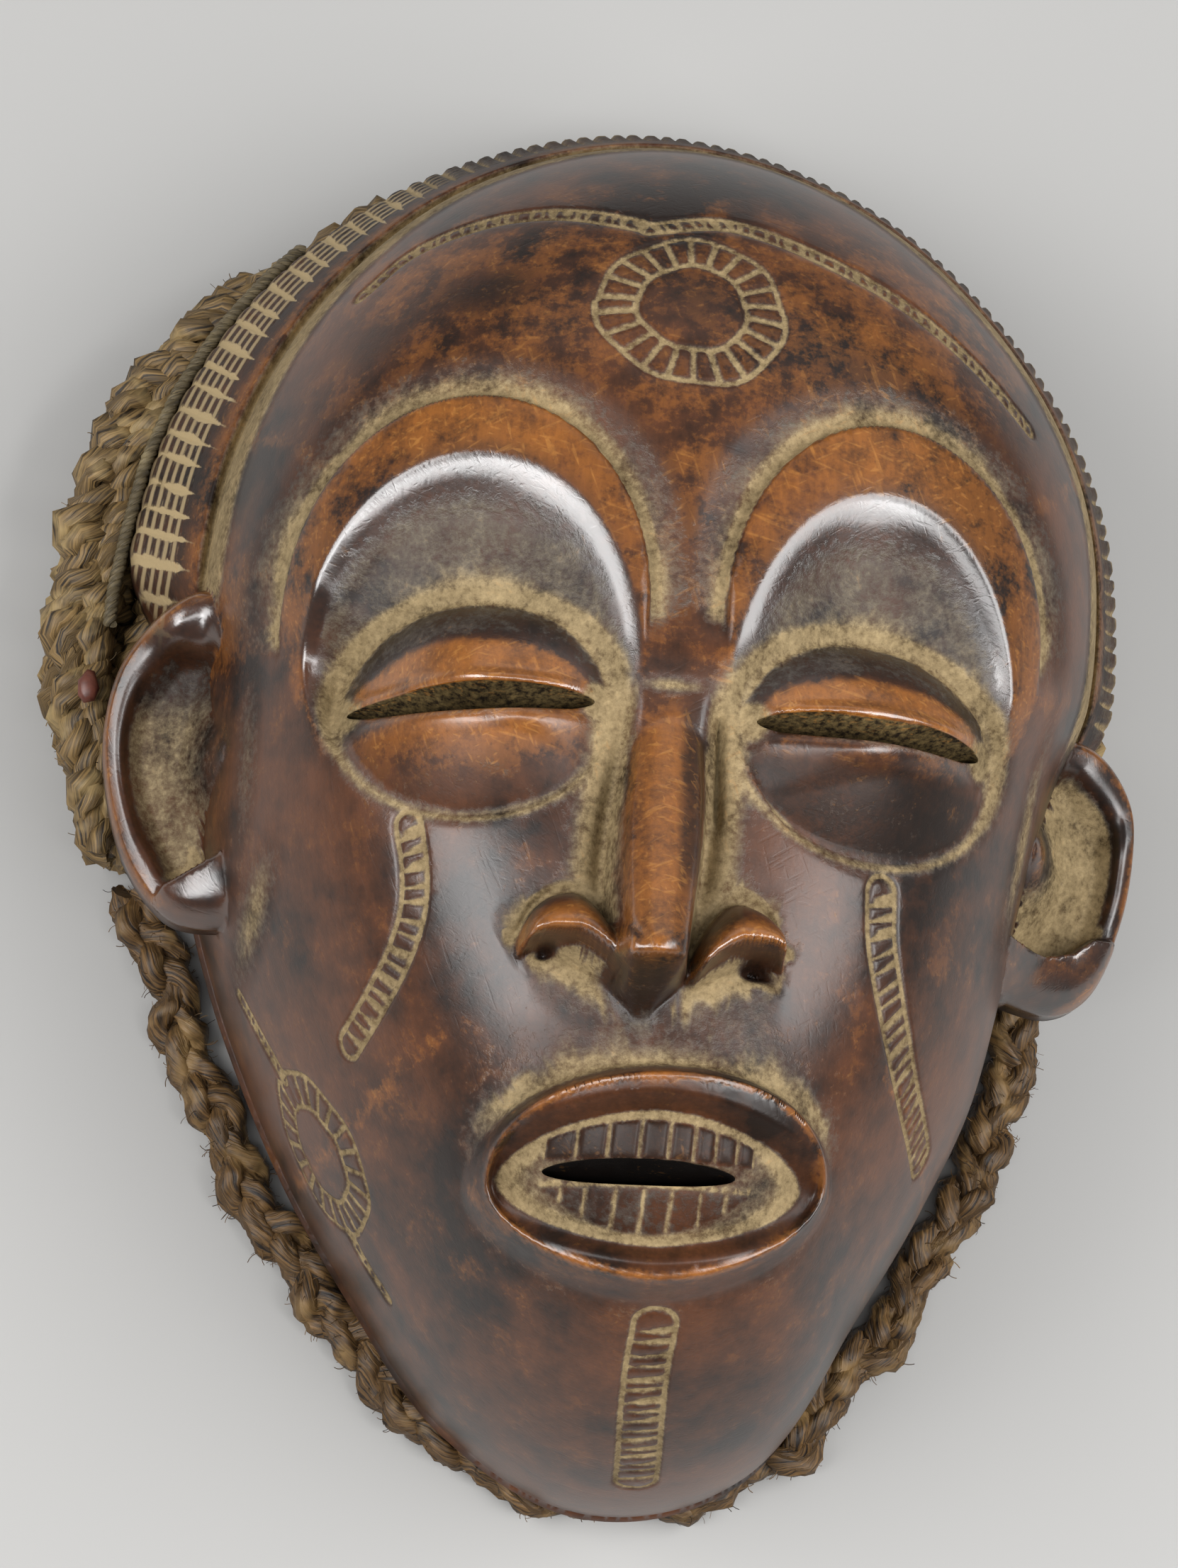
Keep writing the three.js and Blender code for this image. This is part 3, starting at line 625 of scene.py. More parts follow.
def outerShell():
    n = head["rings"]
    count = 2 * n + 1
    deg, share = discGrid(n)
    arc, rhoOfArc = arcTable(*head["arc"])
    rho = np.interp(share, arc, rhoOfArc)
    x, y, _ = np.moveaxis(polar(deg, headRadius(deg) * rho, 0), -1, 0)
    weight = bandWeight(deg)
    z = np.maximum(carvedHeight(x, y), head["floor"] * (1 - weight))
    points = np.stack([x, y, z], -1)
    normal = np.cross(np.gradient(points, axis=1), np.gradient(points, axis=0))
    normal = normal / np.maximum(1e-9, np.linalg.norm(normal, axis=-1, keepdims=True))
    cut, pad = scars(x, y, z)
    points = points - normal * (ladder["depth"] * cut * ease(1, 0.97, share))[..., None]
    face = facePaint(x, y, z, deg, rho, cut, pad)
    flat = points.reshape(-1, 3)
    edge = edgeOf(count)
    edgeDeg = deg.reshape(-1)[edge]
    rim = rimRadius(edgeDeg)
    parts, faces, previous, at = [flat], [gridFaces(count)], edge, len(flat)
    dirt, worn, dark, polish = [[face[name].reshape(-1)] for name in layers]
    for k in range(1, band["rows"] + 2):
        s = min(1, k / band["rows"])
        cutDepth, cutDirt = bandRelief(edgeDeg, np.full(len(edge), s))
        strap = mix(band["grooveZ"] + band["proud"], band["edgeZ"], s)
        strap = strap - band["edgeDrop"] * ease(0.93, 1, s)
        strap = strap - band["grooveDeep"] * bell((s - band["grooveAt"]) / band["grooveWide"])
        strap = strap - cutDepth * band["cutDown"]
        r = mix(headRadius(edgeDeg), rim, s) - cutDepth * band["cutIn"] * ease(0.3, 0.9, s)
        w = bandWeight(edgeDeg)
        z = mix(mix(2, 0.4, s), strap, w) if k <= band["rows"] else 0 * rim
        parts.append(polar(edgeDeg, r, z))
        right = w * ease(112, 98, edgeDeg)
        earthy = np.maximum(cutDirt, right * (0.42 + 0.4 * ease(0.8, 1, s)))
        dirt.append(np.maximum(earthy, w * bell((s - 0.03) / 0.1)))
        worn.append(w * 0.5 * bell((s - 0.22) / 0.16))
        dark.append(w * 0.85 * ease(0.2, 0.36, s) * (1 - cutDirt))
        polish.append(w * 0.04 + 0 * rim)
        faces.append(ringFaces(previous, at, len(edge)))
        previous = at + np.arange(len(edge))
        at += len(edge)
    parts.append([[head["pole"][0], head["pole"][1], 0]])
    for values in (dirt, worn, dark, polish):
        values.append([0])
    tris = np.stack([previous, np.full(len(edge), at), np.roll(previous, -1)], -1)
    piece = newMesh("outer", np.vstack(parts), np.vstack(faces), tris)
    return piece, np.vstack(parts), np.stack([np.concatenate(v) for v in (dirt, worn, dark, polish)], -1)


# The wood's paint has four layers: earth in the hollows (in the sockets partly a painted sheen), bare
# orange wood where hands have worn it, dark places (in some places painted shade) and shine
layers = ("dirt", "worn", "dark", "polish")
# Single patches, by layer: x, y, half length, half height, tilt and amount
marks = {
    "dark": [(-35.5, 76.5, 9, 4.5, 12, 0.95), (-54, 67, 7, 5, 40, 0.7), (2, 74, 8, 7, 0, 0.45),
             (-14, 47, 4, 9, 30, 0.6), (34, 62, 16, 4, -20, 0.4), (62, 52, 10, 14, -20, 0.5),
             (-70, 45, 8, 18, -20, 0.45)],
    "worn": [(-20, 68, 13, 7, 0, 0.55), (36, 72, 16, 9, -20, 0.6), (-48, 44, 6, 9, -40, 0.8),
             (-76, 22, 3.5, 12, 0, 0.6), (-30, -12.5, 4, 1.6, 20, 1), (-29, -52, 2.6, 1.4, 30, 0.9)],
    "dirt": [(-68, -34, 3, 12, -8, 0.75), (-71, -5, 2.2, 22, 0, 0.5), (70, -12, 2.6, 20, -6, 0.8),
             (-2, -66, 22, 2.5, 0, 0.5)]}


def deepen(p, **amounts):
    for name, amount in amounts.items():
        p[name] = np.maximum(p[name], amount)


def lessen(p, **shares):
    for name, share in shares.items():
        p[name] = p[name] * (1 - share)


def paintSockets(x, y, p):
    for b, o in zip(brows, eyes):
        out, turn, v = browPlace(x, y, b)
        fade = ease(-14, 6, turn) * ease(194, 170, turn)
        beyond = fade * ease(-0.4, 0.1, out)
        deepen(p, dirt=beyond * ease(3.8, 1.2, out))
        deepen(p, dirt=beyond * 0.5 * ease(11, 4, out))
        deepen(p, dark=fade * 0.5 * ease(2, 5, out) * ease(13, 6, out))
        inward, width, turn, within, crest = socketPlace(x, y, b, o)
        top = bell((turn - socket["top"][0]) / socket["top"][1])
        inside = ease(0.0, 0.2, inward) * ease(0.3, -0.3, out)
        end = crest - 1.2
        ridge = inside * ease(end + 0.5, end - 0.5, inward)
        lessen(p, dirt=0.96 * inside * ease(0.97, 1, within))
        p["worn"] = np.where(inside > 0.5, 0, p["worn"])
        deepen(p, worn=ridge * mix(0.5, 0.84, ease(8, 36, v)))
        deepen(p, dark=0.75 * inside * (1 - ridge) * ease(0.95, 1, within) * ease(175, 135, turn))
        deepen(p, dark=0.6 * ridge * ease(end - 4, end, inward) * top)
        wide = mix(*socket["crescent"], top)
        # Beyond the crescent the socket takes grey earth: partly dust, partly a painted sheen
        haze = inside * ease(crest + 0.3 * wide, crest + 1.05 * wide, inward) * ease(0.97, 1, within)
        ring = bell((inward / width - 0.97) / 0.14) * ease(-0.6, 0.3, v / b["ry"]) * ease(0.97, 1, within)
        deepen(p, dirt=np.maximum(0.5 * haze, ring))
        deepen(p, polish=inside * bell((inward - crest - 0.4 * wide) / wide))


def paintEyes(x, y, p):
    for o, lidWorn, lidDark in zip(eyes, eye["lidWorn"], eye["lidDark"]):
        u, v, e = ovalOf(x, y, o)
        wide = mix(1.7, 3.3, ease(-14, 10, v))
        ring = bell(((e - 1) * o["rx"] - wide * 0.7) / wide)
        deepen(p, dirt=mix(0.75, 1, ease(-14, 6, v)) * ring)
        inside = ease(1.0, 0.93, e)
        for name, left in (("dirt", 0.08), ("worn", 0), ("dark", 0.3)):
            p[name] = mix(p[name], left * p[name], inside)
        u, v, lens = slitOf(x, y, o["slit"])
        limit = o["slit"]["lid"] * lens
        upper = ease(0, 1.2, v) * ease(0, 0.3, lens) * inside
        deepen(p, worn=upper * ease(limit + 1.2, limit - 0.8, v))
        deepen(p, worn=lidWorn * lens * ease(0, -1.5, v) * ease(-17, -6, v) * inside)
        deepen(p, dark=0.9 * ease(0, 3, v) * ease(limit - 0.5, limit + 1.8, v) * ease(1.02, 0.96, e))
        lessen(p, dirt=upper * ease(limit + 1.5, limit - 0.5, v))
        deepen(p, dirt=0.4 * upper * ease(limit + 0.5, limit + 2, v))
        deepen(p, dark=lidDark * inside * ease(-3, -9, v))
        deepen(p, dirt=0.2 * inside * ease(-6, -14, v))
        deepen(p, dirt=0.5 * lens * bell((v + o["slit"]["high"] / 2 * lens + 0.4) / 0.7) * inside)
        corner = np.hypot(np.abs(u) - o["slit"]["half"] - 0.6, 0.8 * v) / 3
        deepen(p, dirt=ease(1.6, 0.5, corner))
        shine = mix(0.04, 0.5, ease(-5, -2, v)) + 0.3 * lens * (bell((v - 3) / 2) + bell((v + 4) / 2))
        p["polish"] = mix(p["polish"], shine, inside)


def paintNose(x, y, p):
    k, middle, half, flank = noseLine(y)
    side = np.abs(x - middle) - half
    onNose = ease(nose["top"], nose["top"] - 4, y) * ease(nose["tip"] - 1.5, nose["tip"] + 0.5, y)
    centre = bell((x - middle + 0.3) / (0.85 * half))
    bridge = mix(p["worn"], (0.35 + 0.75 * centre) * ease(0.0, 0.2, k), onNose)
    p["worn"] = np.where(side < 1, bridge, p["worn"])
    # The right flank of the upper ridge is painted darker: painted shade
    deepen(p, dark=onNose * 0.9 * ease(0.6, 3.4, x - middle) * ease(1.5, 0.5, side) * ease(-42, -30, y))
    sides = ease(nose["top"] + 8, nose["top"] - 4, y) * ease(-46, -38, y)
    deepen(p, dirt=sides * bell((side - flank - 1.4) / 4.8) * ease(0.3, 1.4, side))
    lessen(p, dirt=onNose * ease(0.8, -0.2, side) * 0.92)
    deepen(p, dirt=0.8 * bell((y - nose["top"]) / 1.8) * bell(x / 8))
    deepen(p, polish=0.5 * onNose * ease(0.8, -0.2, side))
    for w in wings:
        t, up, tall, under = wingOf(x, y, w)
        on = ease(1.2, 0.95, np.abs(t)) * ease(tall, tall - 1, up) * ease(-1.0, -0.1, up)
        lessen(p, worn=on)
        deepen(p, worn=on * ease(7, 0.8, up))
        p["dirt"] = mix(p["dirt"], 0.06, on * ease(tall, tall - 2, up))
        lessen(p, dark=on)
        deepen(p, dark=0.4 * on * ease(tall - 1.6, tall, up))
        deepen(p, polish=on * bell((up - 0.6) / 1.6))
        # The rolled rim just under the crest is painted darker: painted shade under the crest
        rim = ease(1.04, 0.9, np.abs(t)) * ease(0, -0.5, up)
        rim = rim * ease(-wing["rim"] - 0.5, -wing["rim"] + 0.3, up)
        below = ease(-wing["rim"] + 0.4, -wing["rim"] - 0.5, up) * ease(-under - 2.5, -under, up)
        below = below * ease(1.3, 1.05, np.abs(t)) * (1 - rim)
        lessen(p, dirt=rim)
        deepen(p, dirt=0.9 * below)
        lessen(p, dark=below)
        deepen(p, dark=0.4 * rim)
        lessen(p, worn=0.5 * rim)
        # The nostril is painted dark: painted shade in the hole
        hole = np.minimum(1, 1.8 * nostrilOf(t, up, w))
        deepen(p, dark=hole)
        lessen(p, dirt=0.9 * hole)
        ring = ease(1.6, 1.2, np.abs(t)) * ease(tall + 3.6, tall + 0.8, up) * ease(tall - 1.2, tall, up)
        deepen(p, dirt=0.9 * ring * ease(0.4, 1.6, side))
    # Under the tip of the nose the wood is painted dark: painted shade under the nose
    below = np.maximum(0, nose["tip"] - y)
    across = np.abs(x - middle) / (7 - 0.5 * below)
    under = ease(nose["tip"] + 0.3, nose["tip"] - 1, y) * ease(11, 8, below) * ease(1.5, 0.8, across)
    deepen(p, dark=under * mix(0.7, 1, ease(0.5, 3, below)))
    lessen(p, dirt=0.9 * under)
    deepen(p, dirt=0.62 * bell((y + 61) / 8) * bell((x + 1) / 24))


def paintMouth(x, y, p):
    out, inner = mouthOf(x, y)
    beyond = ease(1.2, 2.6, out)
    above = bell((y + 67) / 9)
    lessen(p, dirt=0.72 * (1 - above) * ease(1.2, 2.6, out) * ease(10, 7, out))
    deepen(p, dirt=mix(0.22, 0.6, above) * beyond * bell((out - 4.0) / mix(1.3, 5.4, above)))
    lip = ease(2.2, 0.8, out)
    inMouth = ease(1.06, 0.98, inner) * ease(0.5, -1, out)
    for name, left in (("dirt", 0.04), ("worn", 0), ("dark", 0)):
        p[name] = mix(p[name], left * p[name], lip)
    deepen(p, dark=0.36 * lip * ease(-0.9, -2.4, out))
    deepen(p, dark=0.5 * lip * ease(0.9, 1.6, out))
    along = 0.45 + 0.55 * ease(0.35, 0.9, np.abs(y - mouth["y"]) / mouth["ry"])
    deepen(p, worn=lip * bell((out - 0.1) / 0.8) * along)
    p["polish"] = mix(p["polish"], 0.08 + 0.3 * bell(out / 0.9), lip)
    pads, grooves = teethOf(x, y)
    edge = bell((inner - 0.96) / 0.1)
    p["dirt"] = mix(p["dirt"], 0.56 + 0.44 * edge, inMouth)
    lessen(p, dark=inMouth)
    p["dirt"] = mix(mix(p["dirt"], 0.02, pads[0]), 0.36, pads[1])
    deepen(p, dark=pads[0] + 0.6 * pads[1])
    deepen(p, worn=0.2 * pads[0])
    deepen(p, dirt=0.9 * (grooves[0] + grooves[1]))
    lessen(p, polish=inMouth)
    deepen(p, dirt=inMouth * bell((y + 83.9) / 0.55) * ease(22, 17, np.abs(x)))


# Hollows and edges are found at two distances on the grid of the face, in mm
relief = {"grid": 0.4, "near": 1.6, "wide": 5.0}


def facePaint(x, y, z, deg, rho, cut, pad):
    near, wide = [z - blur(z, int(reach / relief["grid"])) for reach in (relief["near"], relief["wide"])]
    hollows = (ease(0.08, 0.5, -near) * 0.6 + ease(0.25, 1.7, -wide) * 0.5) * ease(3, 10, z)
    forehead = ease(36, 60, y) * ease(104, 84, y) * ease(76, 48, np.abs(x))
    p = {"dirt": 0.85 * np.clip(hollows, 0, 1), "worn": 0.5 * ease(0.08, 0.5, near), "dark": 0 * x,
         "polish": 0.25 + 0 * x}
    deepen(p, worn=0.4 * forehead)
    deepen(p, worn=0.5 * bell((x - 2) / 9) * bell((y - 34) / 22))
    right = ease(85, 60, deg)
    deepen(p, dirt=bandWeight(deg) * ease(0.952 - 0.04 * right, 0.982 - 0.025 * right, rho))
    for name, spots in marks.items():
        for *oval, amount in spots:
            spot = amount * bell(ovalOf(x, y, dict(zip(("x", "y", "rx", "ry", "tilt"), oval)))[2])
            deepen(p, **{name: spot})
            if name == "dark":
                lessen(p, worn=0.7 * spot)
    paintSockets(x, y, p)
    paintEyes(x, y, p)
    paintNose(x, y, p)
    paintMouth(x, y, p)
    line = np.minimum(1, 1.15 * cut ** 0.8)
    p["dirt"] = np.maximum(p["dirt"] * (1 - 0.8 * pad), line)
    lessen(p, dark=line)
    deepen(p, dark=0.3 * pad)
    lessen(p, worn=line)
    return {name: np.clip(p[name], 0, 1) for name in layers}


# A closed solid from a disc grid whose edge is carried down to a flat floor
def domeSolid(name, rings, place):
    count = 2 * rings + 1
    deg, share = discGrid(rings)
    top, floor = place(deg, share)
    flat = top.reshape(-1, 3)
    edge = edgeOf(count)
    lower = flat[edge].copy()
    lower[:, 2] = floor
    middle = np.array([[head["pole"][0], head["pole"][1], floor]])
    at = len(flat)
    low = at + np.arange(len(edge))
    faces = np.vstack([gridFaces(count), ringFaces(edge, at, len(edge))])
    tris = np.stack([low, np.full(len(edge), at + len(edge)), np.roll(low, -1)], -1)
    return newMesh(name, np.vstack([flat, lower, middle]), faces, tris)


# The space behind the face, left by a curved gouge
hollow = {"height": 78, "arc": (100, 78), "wall": 8.5, "fullness": 3, "rings": 110, "gouge": 0.55,
          "gougeLong": 15, "gougeWide": 8, "below": -30}


def hollowPlace(deg, share):
    arc, rhoOfArc = arcTable(*hollow["arc"])
    rho = np.interp(share, arc, rhoOfArc)
    r = (headRadius(deg) - hollow["wall"] + 0.5 * bandWidth(deg) * bandWeight(deg)) * rho
    x, y = r * np.cos(np.radians(deg)), r * np.sin(np.radians(deg))
    z = hollow["height"] * np.sqrt(1 - rho ** hollow["fullness"])
    row = np.floor(y / hollow["gougeLong"])
    cell = (x / hollow["gougeWide"] + 0.37 * row) % 1 - 0.5
    bite = (1 - (2 * cell) ** 2) * (1 - (2 * (y / hollow["gougeLong"] % 1) - 1) ** 4)
    z = z + hollow["gouge"] * bite * ease(1, 0.9, rho)
    return np.stack([x + head["pole"][0], y + head["pole"][1], z], -1), hollow["below"]


# Slits are cut in slanting from the crown side: wide at the surface, thin where they come out inside
slitCut = {"count": 96, "rows": 9, "thin": 0.36, "deep": 7.5, "low": 30, "high": 150}


def slitTool(name, form):
    t = np.linspace(0, 2 * np.pi, slitCut["count"], endpoint=False)
    a = math.radians(form["tilt"])
    half, high = form["half"], form["high"] / 2
    u = half * np.sign(np.cos(t)) * np.abs(np.cos(t)) ** 0.85
    v = high * np.sin(t)
    thin = -high * np.sqrt(np.maximum(0, 1 - (u / half) ** 2)) * (1 - slitCut["thin"]) + slitCut["thin"] * v
    rings = []
    steps = [("low", 0)] + [("wall", share) for share in np.linspace(0, 1, slitCut["rows"])] + [("high", 1)]
    for level, share in steps:
        across = mix(thin, v, share)
        x = form["x"] + u * math.cos(a) - across * math.sin(a)
        y = form["y"] + u * math.sin(a) + across * math.cos(a)
        face = carvedHeight(form["x"] + u * math.cos(a), form["y"] + u * math.sin(a) + 0 * u)
        wall = face - slitCut["deep"] * (1 - share) + 0.4 * share
        z = {"low": slitCut["low"] + 0 * x, "wall": wall, "high": slitCut["high"] + 0 * x}[level]
        rings.append(np.stack([x, y, z], -1))
    n = slitCut["count"]
    k = np.arange(n)
    faces = [ringFaces(i * n + k, (i + 1) * n, n)[:, [0, 3, 2, 1]] for i in range(len(steps) - 1)]
    top = (len(steps) - 1) * n
    caps = [np.stack([np.zeros(n - 2, int), k[2:], k[1:-1]], -1),
            np.stack([np.full(n - 2, top), top + k[1:-1], top + k[2:]], -1)]
    return newMesh(name, np.vstack(rings), np.vstack(faces), np.vstack(caps))


# Ears: plates with a rolled rim, a dished middle, a wedge at the cheek and a heavy lobe
ears = {
    "left": {"side": -1, "centre": (-83, -2, 30),
             "outline": [(-78, 28, 32), (-86, 26, 30), (-94, 17, 26), (-97, 5, 24), (-96, -7, 22),
                         (-92, -20, 23), (-86, -29, 25), (-80, -33, 28), (-71, -33, 33), (-69, -26, 37),
                         (-71, -12, 40), (-73, 8, 38)],
             "lobe": [(-66, -16.5), (-74, -19.5), (-79, -22.5), (-84, -25.5), (-87, -30)],
             "wedge": {"x": -73.5, "y": -2, "wide": 5.4, "high": 9}, "fold": (-80, 23),
             "earth": 0.66, "dark": (4, 14), "shade": 0.3},
    "right": {"side": 1, "centre": (84, -13, 28),
              "outline": [(83, 13, 30), (74, 6, 36), (71, -10, 40), (69, -24, 38), (68, -35, 34),
                          (75, -37, 24), (85, -37, 17), (92, -32, 16), (97, -18, 18), (98, -5, 22),
                          (97, 4, 22), (91, 11, 26)],
              "lobe": [(66, -24), (73, -26.5), (80, -27.5), (86, -26), (90, -23)],
              "wedge": {"x": 75.5, "y": -10, "wide": 5.4, "high": 8}, "fold": (88, 30),
              "earth": 0.95, "dark": (0, 12), "shade": 0.12}}
ear = {"rim": 2.2, "dish": 5, "thick": 9, "lobe": 6.5, "wedge": 5.0, "fold": 3.6,
       "rings": 44, "around": 220}


def closedCurve(points, count):
    p = np.array(points, float)
    u = np.linspace(0, len(p), count, endpoint=False)
    i = np.floor(u).astype(int)
    t = (u - i)[:, None]
    return spline(*[p[(i + k) % len(p)] for k in (-1, 0, 1, 2)], t)


def earSolid(name, form):
    line = closedCurve(form["outline"], ear["around"])
    middle = np.array(form["centre"], float)
    share = np.linspace(0, 1, ear["rings"] + 1)[1:]
    points = middle + (line[None] - middle) * share[:, None, None]
    x, y = points[..., 0], points[..., 1]
    s = np.broadcast_to(share[:, None], x.shape)
    outward = ease(-4, 5, (x - middle[0]) * form["side"])
    outward = np.maximum(outward, ease(middle[1] + 14, middle[1] + 24, y))
    lobeX, lobeY = np.array(form["lobe"], float).T
    order = np.argsort(lobeX)
    lobeEdge = np.interp(x, lobeX[order], lobeY[order])
    onLobe = ease(0.5, -0.9, y - lobeEdge)
    w = form["wedge"]
    wedge = bell(np.hypot((x - w["x"]) / w["wide"], (y - w["y"]) / w["high"]) * 1.1)
    fold = bell(np.hypot((x - form["fold"][0]) / 10, (y - form["fold"][1]) / 6) ** 2)
    edge = mix(0.98, 0.78, outward)
    bowl = ease(edge, edge - 0.34, s) * (1 - fold) * (1 - onLobe) * (1 - wedge)
    raised = ear["rim"] * ease(0.62, 0.86, s) * outward * (1 - onLobe) - ear["dish"] * bowl
    raised = raised + (ear["wedge"] * wedge + ear["fold"] * fold) * (1 - onLobe)
    lobeDown = np.maximum(0, lobeEdge - y)
    raised = raised + onLobe * (ear["lobe"] - 0.03 * (lobeDown - 3) ** 2 - 2.0 * ease(0.86, 1, s))
    front = points.copy()
    front[..., 2] += raised - 2.2 * ease(0.94, 1, s) ** 2
    back = points.copy()
    back[..., 2] -= ear["thick"] - 2.5 * ease(0.6, 1, s)
    n = ear["around"]
    rows = [front[k] for k in range(len(share))] + [back[k] for k in range(len(share) - 1, -1, -4)]
    ends = [middle - (0, 0, ear[name]) for name in ("dish", "thick")]
    flat = np.vstack([ends[:1]] + rows + [ends[1:]])
    faces = [ringFaces(1 + k * n + np.arange(n), 1 + (k + 1) * n, n) for k in range(len(rows) - 1)]
    first, last = 1 + np.arange(n), 1 + (len(rows) - 1) * n + np.arange(n)
    tris = np.vstack([np.stack([np.zeros(n, int), first, np.roll(first, -1)], -1),
                      np.stack([np.full(n, len(flat) - 1), np.roll(last, -1), last], -1)])
    dish = ease(edge - 0.04, edge - 0.16, s) * (1 - onLobe) * (1 - wedge) * (1 - fold)
    high = ease(form["dark"][0], form["dark"][1], y)
    dirt = dish * mix(form["earth"], 0.35, high)
    dirt = np.maximum(dirt, 0.95 * bell((y - lobeEdge - 1.5) / 1.6) * ease(0.9, 0.7, s))
    worn = 0.75 * bell((s - 0.96) / 0.06) * outward + 0.35 * onLobe * ease(0.9, 0.5, s)
    dark = np.maximum(form["shade"] + 0 * s, dish * mix(0.45, 0.9, high))
    dark = np.maximum(dark, 2 * form["shade"] * bell((s - 0.76) / 0.12) * outward)
    worn = np.maximum(worn, 0.4 * wedge * (1 - onLobe))
    polish = np.maximum(0.9 * np.maximum(fold, wedge), 0.35 * ease(0.66, 0.8, s)) * (1 - dish)
    polish = np.maximum(0.7 * onLobe, polish)
    backPaint = np.tile([0.2, 0.1, 0.4, 0], ((len(rows) - len(share)) * n + 1, 1))
    paint = np.vstack([[[0.6, 0, 0.3, 0]], np.stack([dirt, worn, dark, polish], -1).reshape(-1, 4),
                       backPaint])
    return newMesh(name, flat, np.vstack(faces), tris), flat, paint


# Quads between a ring of point indices and a new ring that starts at an index
def ringFaces(first, start, count):
    k = np.arange(count)
    return np.stack([first, start + k, start + (k + 1) % count, np.roll(first, -1)], -1)


wood = {"triangles": 190000, "paintReach": 2.5, "unpainted": [0.15, 0, 0.1, 0]}


def carveWood():
    piece, points, paint = outerShell()
    print("outer shell", len(points), "points")
    allPoints, allPaint, tools = [points], [paint], []
    for name, form in ears.items():
        tool, p, c = earSolid("ear " + name, form)
        allPoints.append(p)
        allPaint.append(c)
        tools.append(("UNION", tool))
    tools.append(("DIFFERENCE", domeSolid("hollow", hollow["rings"], hollowPlace)))
    for name, form in (("slit left", eyes[0]["slit"]), ("slit right", eyes[1]["slit"]),
                       ("slit mouth", mouth["slit"])):
        tools.append(("DIFFERENCE", slitTool(name, form)))
    for operation, tool in tools:
        cut = piece.modifiers.new(tool.name, "BOOLEAN")
        cut.operation, cut.solver, cut.object = operation, "MANIFOLD", tool
    mesh = evaluated(piece)
    print("wood after cuts", len(mesh.polygons), "faces")
    thin = bpy.data.objects.new("mask", mesh)
    bpy.context.collection.objects.link(thin)
    triangles = sum(len(f.vertices) - 2 for f in mesh.polygons)
    thin.modifiers.new("thin", "DECIMATE").ratio = wood["triangles"] / triangles
    final = evaluated(thin)
    thin.modifiers.clear()
    thin.data = final
    for old in [piece] + [t for _, t in tools]:
        bpy.data.objects.remove(old)
    print("wood thinned to", len(final.polygons))
    return thin, np.vstack(allPoints), np.vstack(allPaint)


def evaluated(piece):
    graph = bpy.context.evaluated_depsgraph_get()
    return bpy.data.meshes.new_from_object(piece.evaluated_get(graph))


def meshPoints(mesh):
    co = np.empty(len(mesh.vertices) * 3, np.float32)
    mesh.vertices.foreach_get("co", co)
    return co.reshape(-1, 3).astype(float)


# How deep a point lies in a slit: above 0 under the lids, where the walls are packed with earth,
# below 0 in the mouth
def slitDepth(co):
    x, y, z = co.T
    below = carvedHeight(x, y) - z
    found = np.zeros(len(co))
    for number, form in enumerate((eyes[0]["slit"], eyes[1]["slit"], mouth["slit"])):
        u, v = placeOn(x, y, form)
        inside = (np.abs(u) < form["half"] + 0.4) & (np.abs(v) < form["high"] / 2 + 0.6)
        inside = inside & (below > 0.05) & (below < 40)
        found = np.where(inside, below if number < 2 else -below, found)
    return found


# Values for every point of a mesh, by name: plain numbers, vectors or colours
def addValues(mesh, **named):
    kinds = {1: ("FLOAT", "value"), 3: ("FLOAT_VECTOR", "vector"), 4: ("FLOAT_COLOR", "color")}
    for name, values in named.items():
        kind, field = kinds[values.size // len(values)]
        layer = mesh.attributes.new(name, kind, "POINT")
        layer.data.foreach_set(field, values.astype(np.float32).reshape(-1))


# Carries the four layers from the dense points to the mesh as one colour, with the slits and the band
def paintPiece(piece, points, paint):
    tree = KDTree(len(points))
    for k, p in enumerate(points):
        tree.insert(p, k)
    tree.balance()
    co = meshPoints(piece.data)
    found = [tree.find(p) for p in co]
    index = np.array([f[1] for f in found])
    away = np.array([f[2] for f in found])
    values = np.where(away[:, None] < wood["paintReach"], paint[index], wood["unpainted"])
    addValues(piece.data, earth=values, slit=slitDepth(co), strap=strapPlace(co))


def setInRow(piece):
    co = toRow(meshPoints(piece.data)).astype(np.float32)
    piece.data.vertices.foreach_set("co", co.reshape(-1))
    piece.data.update()


mask, densePoints, densePaint = carveWood()
paintPiece(mask, densePoints, densePaint)
setInRow(mask)
mask.data.shade_smooth()
print("mask painted")


def linear(hexColour):
    out = []
    for k in (1, 3, 5):
        v = int(hexColour[k:k + 2], 16) / 255
        out.append(v / 12.92 if v <= 0.04045 else ((v + 0.055) / 1.055) ** 2.4)
    return (*out, 1)


# One node with its settings. Values and links fill its sockets in order, or one by name as (name, value)
def addNode(tree, kind, *given, **settings):
    kind, _, operation = kind.partition(" ")
    node = tree.nodes.new(kind if "Node" in kind else "ShaderNode" + kind)
    if operation:
        node.operation = operation
    for key, value in settings.items():
        setattr(node, key, value)
    sockets = [socket for socket in node.inputs if socket.enabled]
    for at, value in enumerate(given):
        named = isinstance(value, tuple) and isinstance(value[0], str)
        socket, value = (node.inputs[value[0]], value[1]) if named else (sockets[at], value)
        if isinstance(value, bpy.types.Node):
            value = next(output for output in value.outputs if output.enabled)
        if isinstance(value, bpy.types.NodeSocket):
            tree.links.new(value, socket)
        else:
            socket.default_value = value
    return node


colours, vectors = {"data_type": "RGBA"}, {"data_type": "FLOAT_VECTOR"}


def newMaterial(name):
    material = bpy.data.materials.new(name)
    material.use_nodes = True
    material.node_tree.nodes.clear()
    return material, partial(addNode, material.node_tree)


